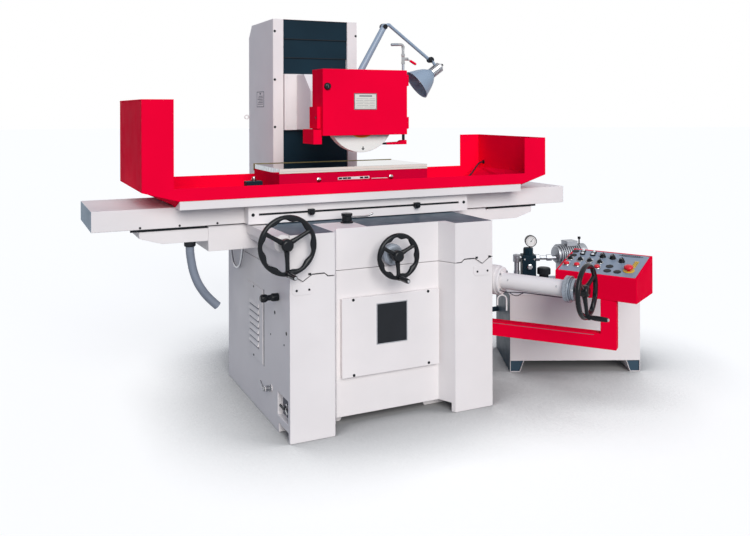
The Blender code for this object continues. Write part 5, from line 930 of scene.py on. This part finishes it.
def coolant():
    x, y, r = 0.2462, 0.412, 0.0065
    Shape().rod((x, y, 1.3005), (x, y, 1.63), r, 28).skin("coolant_pipe", DIAL, "wheelhead")
    Shape().rod((x, y, 1.24), (x, y, 1.301), 0.0072, 28).piece("coolant_stub", BLACK_MATT, "wheelhead")
    valve = Shape().turned(((0.011, 0), (0.011, 0.011), (0.0095, 0.013), (0.0095, 0.039), (0.011, 0.041),
        (0.011, 0.052)), (x, y, 1.626), UP, 6)
    valve.turned(((0.008, 0), (0.008, 0.018), (0.0062, 0.02), (0.0062, 0.0222)), (x, y, 1.652), RIGHT, 28)
    valve.turned(((0.0095, 0), (0.0095, 0.01), (0.008, 0.012)), (x, y, 1.706), UP, 6)
    valve.rod((x, y, 1.676), (x, y, 1.712), r, 28)
    valve.piece("coolant_valve", CHROME, "wheelhead")
    elbow = Shape()
    points = [(x, y, 1.7), (x, y, 1.712), *arc((x - 0.012, y, 1.712), 0.012, 0, 90, 8), (x - 0.03, y, 1.7235)]
    elbow.tube(points, 0.0072, 20)
    elbow.piece("coolant_elbow", CHROME, "wheelhead")
    tail = Shape()
    for k in range(6):
        tail.lathe(((0, 0), (0.006, 0.0004), (0.0074, 0.0016), (0.0074, 0.0046), (0.006, 0.0062), (0, 0.0066)),
            (x - 0.029 - 0.0064 * k, y, 1.7235 - 0.0003 * k), LEFT, 20)
    tail.piece("coolant_tail", DIAL, "wheelhead", "grey_hose")
    nozzle = Shape().prism([(0.146, 1.2222), (x + 0.012, 1.2222), (x + 0.012, 1.2438), (x - 0.018, 1.243),
        (x - 0.03, 1.2356), (0.146, 1.233)], "Y", y - 0.0148, y + 0.0148, 0.0018, 3)
    nozzle.piece("coolant_nozzle", RED, "wheelhead")
    tip = Shape().box((0.132, y - 0.0125, 1.223), (0.1475, y + 0.0125, 1.2322), 0.001)
    tip.piece("coolant_nozzle_tip", BLACK_MATT, "wheelhead")
    pivot = x + 0.0223
    hub = Shape().turned(((0.008, 0), (0.008, 0.005), (0.0068, 0.006)), (pivot, y, 1.652), RIGHT, 28)
    hub.tube([(pivot + 0.003, y, 1.652), (pivot + 0.01, y, 1.648), (pivot + 0.02, y, 1.6425)], 0.004, 16)
    hub.piece("coolant_lever_hub", CHROME, "coolant_lever")
    lever = Shape().tube([(pivot + 0.0165, y, 1.6445), (pivot + 0.019, y, 1.643), (pivot + 0.034, y, 1.635),
        (pivot + 0.0485, y, 1.6272), (pivot + 0.0515, y, 1.6256)], 0.006, 18, [0.0045, 0.0062, 0.0066, 0.0064, 0.004])
    lever.skin("coolant_lever", RED, smooth=50)


def lamp():
    foot_z = 1.4803
    elbow = Vector((0.232, 0.6, 1.832))
    joint = Vector((0.512, 0.6, 1.665))
    lower = Shape().lathe(((0, -0.016), (0.0078, -0.016), (0.0078, 0), (0.019, 0), (0.02, 0.0015), (0.02, 0.018),
        (0.018, 0.022), (0.013, 0.028), (0, 0.032)), (0.04, 0.6, foot_z), UP, 48)
    start = Vector((0.04, 0.6, 1.5))
    points = [start.lerp(elbow, k / 12) for k in range(13)]
    lower.tube(points, 0.013, 28, [0.018 - 0.0025 * k / 12 for k in range(13)])
    lower.turned(((0.015, 0), (0.016, 0.001), (0.016, 0.0127)), elbow + Vector((0, -0.013, 0)), BACK, 40)
    lower.skin("lamp_lower_arm", LAMP, smooth=40)
    knob = Shape().lathe(((0, 0), (0.0115, 0.0008), (0.0125, 0.003), (0.0125, 0.01), (0, 0.01)),
        elbow + Vector((0, -0.0225, 0)), BACK, 14)
    knob.piece("lamp_elbow_knob", BLACK, "lamp_lower_arm")
    upper = Shape()
    across = Vector((0, 0.012, 0))
    bend = elbow + across + Vector((0.035, 0, 0.012))
    route = smooth_route([elbow + across + Vector((0.006, 0, 0.003)), elbow + across + Vector((0.022, 0, 0.0095)),
        bend, bend + (joint + across - bend) * 0.08, bend + (joint + across - bend) * 0.5, joint + across], 5)
    upper.tube(route, 0.009, 24)
    upper.turned(((0.016, 0.0003), (0.016, 0.023), (0.015, 0.024)), elbow, BACK, 40)
    upper.turned(((0.014, 0.0003), (0.014, 0.022), (0.0125, 0.024)), joint, BACK, 40)
    upper.skin("lamp_upper_arm", LAMP, smooth=40)
    joints = Shape().lathe(((0.0162, 0.006), (0.0175, 0.007), (0.0175, 0.018), (0.0162, 0.019)), elbow, BACK, 40)
    joints.lathe(((0.0141, 0.005), (0.0155, 0.006), (0.0155, 0.018), (0.0141, 0.019)), joint, BACK, 40)
    joints.piece("lamp_joint_bands", BLACK_MATT, "lamp_upper_arm")
    aim = Vector((-0.8, 0.1, -0.59)).normalized()
    top = joint + Vector((0.06, -0.012, -0.03))
    socket, depth, radius, wall = 0.075, 0.105, 0.083, 0.0026
    shade = Shape()
    profile = [(0.024, socket - 0.004), (0.0275, socket), (0.036, socket + 0.012)]
    profile += [(0.036 + (radius - 0.036) * t ** 0.72, socket + 0.012 + (depth - 0.012) * t) for t in (0.06, 0.14,
        0.25, 0.4, 0.55, 0.7, 0.85, 1.0)]
    inner = [(r - wall, a + (0.003 if a < socket + depth - 0.001 else 0)) for r, a in profile[::-1]]
    shade.lathe(profile + inner, top, aim, 72)
    shade.lathe(((radius - 0.0012, -0.0022), (radius + 0.001, -0.0022), (radius + 0.0012, 0.0),
        (radius - 0.0012, 0.0)), top + aim * (socket + depth), aim, 72)
    ball = Shape().lathe(((0, -0.016), (0.011, -0.0158), (0.015, -0.0125), (0.0165, -0.008), (0.016, -0.002),
        (0.014, -0.0003), (0, -0.0003)), joint, BACK, 40)
    ball.piece("lamp_head_joint", BLACK_MATT, "lamp_head")
    shade.tube([joint + Vector((0, -0.0085, 0)), top + 0.03 * aim], 0.0075, 18)
    shade.piece("lamp_shade", LAMP, "lamp_head", replaces=["lamp_head"], smooth=40)
    holder = Shape()
    ridges = [(0, 0.0), (0.013, 0.0), (0.0165, 0.003), (0.0215, 0.008)]
    for k in range(7):
        low = 0.012 + 0.009 * k
        ridges += [(0.025, low), (0.0284, low + 0.0012), (0.0284, low + 0.005), (0.025, low + 0.0062)]
    ridges += [(0.0262, socket + 0.001), (0, socket + 0.001)]
    holder.lathe(ridges, top, aim, 48)
    holder.piece("lamp_socket", STEEL, "lamp_head", "lamp_grey")
    tip = Shape().lathe(((0, 0), (0.006, 0.0008), (0.0075, 0.004), (0.0075, 0.011), (0, 0.011)), top - aim * 0.01,
        aim, 24)
    tip.piece("lamp_switch_tip", BLACK, "lamp_head")
    bulb = Shape().lathe(((0, 0), (0.013, 0), (0.014, 0.01), (0.022, 0.03), (0.0285, 0.046), (0.0285, 0.056),
        (0.022, 0.068), (0.01, 0.0745), (0, 0.0755)), top + aim * (socket + 0.006), aim, 40)
    bulb.piece("lamp_bulb", LENS, "lamp_head", "lamp_grey", smooth=60)


column_details()
head_details()
wheel_details()
guard_details()
coolant()
lamp()

# ---------------------------------------------------------------- control pendant

PANEL_DEPTH, PANEL_LOW, PANEL_HIGH = 0.262, 0.619, 0.686
PANEL_LEAN = -math.atan2(PANEL_HIGH - PANEL_LOW, PANEL_DEPTH)


def on_panel(x, y):
    """A frame on the panel's face, its Z square to it."""
    height = PANEL_LOW + (PANEL_HIGH - PANEL_LOW) * x / PANEL_DEPTH
    return PENDANT @ Matrix.Translation((x, y, height)) @ Matrix.Rotation(PANEL_LEAN, 4, "Y")


def bezel(name, place, inner, outer, rise):
    shape = Shape(on_panel(*place)).lathe(((inner, 0.0002), (outer, 0.0002), (outer, rise * 0.6),
        (outer - 0.0012, rise), (inner, rise)), steps=40)
    shape.piece(name, CHROME)


def controls():
    for number, place in enumerate(((0.074, 0.361), (0.074, 0.309), (0.074, 0.209)), 1):
        bezel(f"push_button_{number}_bezel", place, 0.0143, 0.0186, 0.0042)
        cap = Shape(on_panel(*place)).lathe(((0, -0.014), (0.0074, -0.014), (0.0074, 0.0045), (0.0118, 0.005),
            (0.0135, 0.0066), (0.0135, 0.0096), (0.0122, 0.0122), (0.0085, 0.0142), (0.004, 0.0149), (0, 0.015)),
            steps=48)
        name = f"push_button_{number}"
        cap.skin(name, RED_PLASTIC, smooth=40)
    for number, place in enumerate(((0.137, 0.366), (0.135, 0.314), (0.132, 0.266), (0.129, 0.215)), 1):
        name = f"selector_switch_{number}"
        knob = Shape(on_panel(*place)).turned(((0.0075, -0.014), (0.0075, 0.0003), (0.014, 0.0003), (0.0145, 0.001),
            (0.0145, 0.0042), (0.0135, 0.0052), (0.011, 0.007), (0.0105, 0.0118), (0.0098, 0.0125)), steps=48)
        knob.box((-0.0095, -0.0034, 0.008), (0.0095, 0.0034, 0.019), 0.001)
        knob.skin(name, BLACK, smooth=40)
        bezel(name + "_bezel", place, 0.0152, 0.0186, 0.0034)
        line = Shape(on_panel(*place)).box((-0.0088, -0.0006, 0.0186), (0.003, 0.0006, 0.0192))
        line.piece(name + "_line", LENS, name, "black_plastic")
    for number, place in enumerate(((0.195, 0.221), (0.189, 0.17), (0.163, 0.118)), 1):
        name = f"speed_knob_{number}"
        knob = Shape(on_panel(*place)).lathe(((0, -0.014), (0.0075, -0.014), (0.0075, 0.0003), (0.015, 0.0003),
            (0.0155, 0.001), (0.0155, 0.0034), (0.013, 0.007), (0.0115, 0.015), (0.0105, 0.0168), (0, 0.0172)),
            steps=48)
        knob.box((-0.013, -0.0028, 0.008), (0.013, 0.0028, 0.0198), 0.0009)
        knob.skin(name, BLACK, smooth=40)
        line = Shape(on_panel(*place)).box((-0.0122, -0.0005, 0.0194), (0.001, 0.0005, 0.02))
        line.piece(name + "_line", LENS, name, "black_plastic")
        scale = Shape(on_panel(*place))
        for k in range(11):
            turn = Matrix.Rotation(math.radians(-135 + 27 * k), 4, "Z")
            scale.box((-0.0225, -0.0004, 0.0001), (-0.018, 0.0004, 0.0005), turn=turn)
        scale.piece(name + "_scale", LENS)
    place = (0.077, 0.059)
    base = Shape(on_panel(*place)).lathe(((0.008, 0.0002), (0.0255, 0.0002), (0.0262, 0.001), (0.0262, 0.004),
        (0.024, 0.0052), (0.0222, 0.005), (0.015, 0.0012), (0.008, 0.001)), steps=56)
    base.piece("emergency_stop_base", YELLOW)
    head = Shape(on_panel(*place)).lathe(((0, -0.016), (0.0074, -0.016), (0.0074, 0.0082), (0.0125, 0.009),
        (0.016, 0.012), (0.0208, 0.0142), (0.0215, 0.0155), (0.0215, 0.0195), (0.02, 0.0235), (0.015, 0.027),
        (0.008, 0.0287), (0, 0.029)), steps=56)
    head.skin("emergency_stop", RED_PLASTIC, smooth=40)


def panel_fittings():
    """Blanking plugs, indicator lights and strips, which don't move."""
    plugs, rims, lenses = Shape(), Shape(), Shape()
    for place in ((0.228, 0.371), (0.18, 0.366), (0.1, 0.157), (0.053, 0.153), (0.053, 0.106)):
        plugs.frame = on_panel(*place)
        plugs.lathe(((0, 0), (0.0172, 0), (0.0178, 0.0006), (0.0178, 0.0018), (0.0165, 0.0026), (0, 0.0032)),
            steps=48)
    for place in ((0.232, 0.332), (0.231, 0.277), (0.203, 0.326), (0.202, 0.274)):
        rims.frame = lenses.frame = on_panel(*place)
        rims.lathe(((0.0075, 0), (0.0125, 0), (0.013, 0.0008), (0.013, 0.005), (0.011, 0.0065), (0.0075, 0.0065)),
            steps=40)
        lenses.lathe(((0, 0.0004), (0.0078, 0.0004), (0.0078, 0.0085), (0.006, 0.011), (0, 0.0122)), steps=40)
    plugs.piece("panel_plugs", BLACK_MATT)
    rims.piece("indicator_rims", BLACK)
    lenses.piece("indicator_lenses", LENS, smooth=50)
    strip = Shape(on_panel(0.15, 0.05)).box((-0.042, -0.01, 0.0001), (0.032, 0.01, 0.002), 0.0005)
    strip.piece("panel_strip", YELLOW, "root", "panel_blue")
    rules = Shape(on_panel(0.15, 0.05))
    for y in (-0.0072, 0.0, 0.0072):
        rules.box((-0.036, y - 0.0009, 0.0019), (0.026, y + 0.0009, 0.0024))
    rules.piece("panel_strip_rules", BLACK_MATT, "root", "panel_blue")
    rim, label = Shape(on_panel(0.236, 0.095)), Shape(on_panel(0.236, 0.095))
    for shape, wide, long, high in ((rim, 0.012, 0.058, 0.001), (label, 0.0098, 0.0555, 0.0014)):
        oval = [(wide * math.cos(a), long * math.sin(a)) for a in (2 * math.pi * k / 48 for k in range(48))]
        shape.prism(oval, "Z", 0.0001, high)
    for y in range(-4, 5):
        rim.box((-0.005, 0.0102 * y - 0.0038, 0.001), (0.0048, 0.0102 * y + 0.0038, 0.0018))
    rim.piece("panel_label_rim", BLACK_MATT, "root", "panel_blue")
    label.piece("panel_label", PANEL)
    tags = Shape()
    for x, y in ((0.103, 0.361), (0.103, 0.309), (0.101, 0.209), (0.163, 0.366), (0.161, 0.314), (0.158, 0.266)):
        tags.frame = on_panel(x, y)
        tags.box((-0.0035, -0.01, 0.0001), (0.0035, 0.01, 0.0007), 0.0002)
    tags.piece("panel_tags", LENS)
    corner = Shape()
    for place in ((0.016, 0.016), (0.016, 0.374), (0.246, 0.016), (0.246, 0.374)):
        corner.frame = on_panel(*place)
        corner.screw((0, 0, 0), UP, 0.003, 0.0012)
    corner.piece("panel_corner_screws", CHROME)


def arm_details():
    Shape(ARM).box((-0.0006, -0.66, 0.3385), (0.001, -0.08, 0.3402)).piece("arm_edge_seal", HOSE, "root", "lamp_grey")
    bolts = Shape(ARM)
    for along in (-0.012, -0.045):
        bolts.turned(((0.01, -0.002), (0.01, 0.004), (0.007, 0.006)), (0.028, along, 0.347), UP, 6)
    bolts.piece("arm_root_bolts", RED_PLASTIC)


controls()
panel_fittings()
arm_details()

# ---------------------------------------------------------------- hydraulic unit


def tank():
    shell = Shape(TANK).box((0, 0, 0.06), (0.693, 0.45, 0.4095), 0.002, 3)
    shell.box((-0.004, -0.004, 0.409), (0.697, 0.454, 0.416), 0.0018, 3)
    for inner, outer, low in ((0.075, 0.053, 0.0), (0.618, 0.64, 0.693)):
        sheet = 0.003 if low == 0.0 else -0.003
        shell.prism([(low, 0.0), (low + sheet, 0.0), (low + sheet, 0.061), (low, 0.061)], "Y", 0.002, 0.448, 0.0004)
        shell.prism([(outer - sheet, 0.0), (outer, 0.0), (inner, 0.061), (inner - sheet, 0.061)], "Y", 0.002, 0.448,
            0.0004)
        shell.prism([(low, 0.0), (outer, 0.0), (outer + 0.001, 0.003), (low, 0.003)], "Y", 0.002, 0.448, 0.0004)
    shell.skin("hydraulic_tank", WHITE, "root")
    # Dark webs inside the channel feet paint the shade in them
    webs = Shape(TANK).prism([(0.0032, 0.0032), (0.05, 0.0032), (0.0715, 0.0605), (0.0032, 0.0605)], "Y", 0.01, 0.44)
    webs.prism([(0.6898, 0.0032), (0.643, 0.0032), (0.6215, 0.0605), (0.6898, 0.0605)], "Y", 0.01, 0.44)
    webs.piece("tank_foot_shade_webs", FOOT_SHADE)
    # A dark panel on the tank's left end paints the shade between the tank and the base
    Shape(TANK).box((-0.001, 0.003, 0.001), (0.0005, 0.447, 0.407), 0.0004).piece("tank_end_shade_panel", SHADE_SLATE)
    # The pipe takes the same painted shade colour, so it sinks into the shade between base and tank
    pipe = Shape(TANK)
    lean = math.radians(25)
    start = Vector((0.02, 0.4, 0.24))
    pipe.rod(start, start + 0.5363 * Vector((-math.cos(lean), -math.sin(lean), 0)), 0.014, 28)
    pipe.piece("tank_oil_pipe", SHADE_SLATE, "root", "white_paint")


def tank_fittings():
    neck, dial = (0.234, 0.24, 0), (0.162, 0.25, 0.655)
    cap = Shape(TANK)
    knurl = []
    for k in range(72):
        swell = 0.0368 + (0.0006 if k % 2 else -0.0004)
        a = 2 * math.pi * k / 72
        knurl.append((0.234 + swell * math.cos(a), 0.24 + swell * math.sin(a)))
    cap.turned(((0.026, 0.415), (0.026, 0.472)), neck, UP, 48)
    cap.prism(knurl, "Z", 0.4722, 0.502)
    cap.turned(((0.0362, 0.5015), (0.035, 0.505), (0.031, 0.508)), neck, UP, 64)
    cap.piece("filler_cap", BLACK_MATT)
    plate = Shape(TANK).turned(((0.042, 0.4158), (0.042, 0.42), (0.04, 0.4215)), neck, UP, 48)
    plate.box((0.098, 0.2, 0.4158), (0.198, 0.3, 0.42), 0.001)
    plate.piece("fitting_pads", CAST_GREY)
    elbow = Shape(TANK)
    x, y = 0.083, 0.25
    elbow.turned(((0.02, 0.4155), (0.02, 0.432), (0.0145, 0.435), (0.0145, 0.47), (0.0165, 0.472), (0.0165, 0.488),
        (0.014, 0.49), (0.014, 0.54)), (x, y, 0), UP, 40)
    elbow.lathe(((0, 0.538), (0.0195, 0.538), (0.0205, 0.541), (0.0205, 0.576), (0.0185, 0.58), (0, 0.582)),
        (x, y, 0), UP, 8)
    elbow.turned(((0.015, 0), (0.015, 0.012), (0.01, 0.014), (0.01, 0.0208)), (x + 0.006, y, 0.562), RIGHT, 6)
    elbow.piece("return_elbow", CAST_GREY)
    block = Shape(TANK).box((0.11, 0.212, 0.4203), (0.186, 0.288, 0.58), 0.003, 3)
    block.turned(((0.028, 0.575), (0.028, 0.612), (0.0255, 0.618)), (0.148, 0.25, 0), UP, 8)
    block.skin("valve_block", SLATE, "root")
    bolts = Shape(TANK)
    for dx in (-0.027, 0.027):
        for dz in (0.44, 0.56):
            bolts.screw((0.148 + dx, 0.212, dz), FRONT, 0.0055, 0.005)
    bolts.turned(((0.016, 0.002), (0.016, 0.012), (0.0115, 0.014), (0.0115, 0.02)), (0.148, 0.212, 0.518), FRONT, 6)
    bolts.turned(((0.01, 0.578), (0.01, 0.624)), (0.162, 0.25, 0), UP, 24)
    bolts.piece("valve_block_bolts", CHROME)
    gauge = Shape(TANK).turned(((0.028, 0.014), (0.033, 0.01), (0.033, -0.012), (0.0318, -0.014), (0.029, -0.0142),
        (0.0288, -0.0118)), dial, BACK, 64)
    gauge.piece("gauge_case", BLACK)
    face = Shape(TANK).turned(((0.0287, -0.0125), (0.0287, -0.0115)), dial, BACK, 56)
    face.piece("gauge_face", DIAL_FACE)
    marks = Shape(TANK)
    for k in range(28):
        turn = Matrix.Translation(dial) @ Matrix.Rotation(math.radians(-135 + 10 * k), 4, "Y")
        low = 0.0215 if k % 3 else 0.0195
        marks.box((-0.0003, -0.01285, low), (0.0003, -0.0124, 0.0255), turn=turn)
    turn = Matrix.Translation(dial) @ Matrix.Rotation(math.radians(38), 4, "Y")
    marks.box((-0.0007, -0.0134, -0.007), (0.0007, -0.0127, 0.0215), turn=turn)
    marks.turned(((0.0024, -0.0142), (0.0024, -0.0126)), dial, BACK, 20)
    marks.piece("gauge_marks", BLACK_MATT)


def pump():
    outer, inner, end, pitch = 0.056, 0.046, 0.19, 0.028
    profile = [(0, 0), (inner - 0.006, 0), (inner - 0.002, 0.002), (inner, 0.008)]
    for k in range(10):
        low = 0.015 + 0.014 * k
        profile += [(inner, low), (outer - 0.0006, low + 0.001), (outer, low + 0.002), (outer, low + 0.0052),
            (outer - 0.0006, low + 0.0062), (inner, low + 0.0072)]
    profile += [(inner + 0.004, end - 0.026), (inner + 0.006, end - 0.02), (inner + 0.006, end - 0.004),
        (inner + 0.002, end), (0, end)]
    motor = Shape(PUMP).lathe(profile, (0, 0, 0), RIGHT, 56)
    motor.box((0.03, -0.04, -0.164), (0.17, 0.04, -0.05), 0.003)
    motor.skin("pump_motor", CAST_GREY, "root")
    box = Shape(PUMP).box((0.06, -0.03, 0.044), (0.13, 0.03, 0.0735), 0.0025, 3)
    box.box((0.0585, -0.0315, 0.0675), (0.1315, 0.0315, 0.0695), 0.0006)
    box.piece("pump_terminal_box", CAST_GREY)
    nut = Shape(TANK).lathe(((0, 0), (0.02, 0), (0.02, 0.022), (0.0125, 0.026), (0.0125, 0.06), (0.0185, 0.062),
        (0.0185, 0.09), (0, 0.092)), (0.1862, 0.24, 0.563), RIGHT, 6)
    nut.rod((0.27, 0.24, 0.563), (0.318, 0.24, 0.563), 0.012, 32)
    nut.piece("pump_coupling", CAST_GREY)
    lever = Shape(PUMP).rod((0.16, 0, 0.05), (0.16, 0, 0.08), 0.004, 16)
    lever.lathe(((0, 0), (0.0078, 0.0015), (0.0085, 0.006), (0.0085, 0.014), (0, 0.016)), (0.16, 0, 0.076), UP, 24)
    lever.piece("pump_bleed_plug", BLACK)


tank()
tank_fittings()
pump()

# ---------------------------------------------------------------- room and light


def seen_directly(tree):
    """1 on rays that the camera, a reflection or a refraction sees, 0 on light rays."""
    path = tree.nodes.new("ShaderNodeLightPath")
    value = path.outputs["Is Camera Ray"]
    for other in ("Is Glossy Ray", "Is Transmission Ray"):
        value = add(tree, "Math", {0: value, 1: path.outputs[other]}, operation="MAXIMUM").outputs[0]
    return value


def room():
    bm = bmesh.new()
    size = 60.0
    bm.faces.new([bm.verts.new((x, y, 0)) for x, y in ((-size, -size), (size, -size), (size, size), (-size, size))])
    mesh = bpy.data.meshes.new("floor")
    bm.to_mesh(mesh)
    bm.free()
    mat, tree, shader = new_material("pale_floor")
    # The floor is white in the open; near the machine its glow fades into a painted shadow, beside the real shadow it
    # keeps
    paleness = ramp(tree, openness(tree, 0.6), 0.0, 0.76, 0.50, 0.98)
    glow = add(tree, "Math", {0: seen_directly(tree), 1: paleness}, operation="MULTIPLY").outputs[0]
    fill(tree, shader, {
        "Base Color": (0.34, 0.34, 0.34),
        "Roughness": 0.9,
        "Specular IOR Level": 0.0,
        "Emission Color": (1, 1, 1),
        "Emission Strength": glow,
    })
    mesh.materials.append(mat)
    in_scene("floor", mesh)


def light():
    data = bpy.data.lights.new("key", "SUN")
    data.energy = 2.6
    data.color = (1.0, 0.985, 0.955)
    data.angle = math.radians(40)
    in_scene("key", data).rotation_euler = Vector((0.16, 0.86, -0.46)).to_track_quat("-Z", "Y").to_euler()
    world = bpy.data.worlds.new("studio")
    world.use_nodes = True
    tree = world.node_tree
    soft = tree.nodes["Background"]
    fill(tree, soft, {"Color": (0.74, 0.91, 1.24), "Strength": 0.33})
    plain = add(tree, "Background", {"Color": (1, 1, 1), "Strength": 1.0})
    mix = add(tree, "MixShader", {0: seen_directly(tree), 1: soft.outputs[0], 2: plain.outputs[0]})
    tree.links.new(mix.outputs[0], tree.nodes["World Output"].inputs["Surface"])
    bpy.context.scene.world = world


room()
light()
bpy.context.scene.view_settings.view_transform = "Standard"
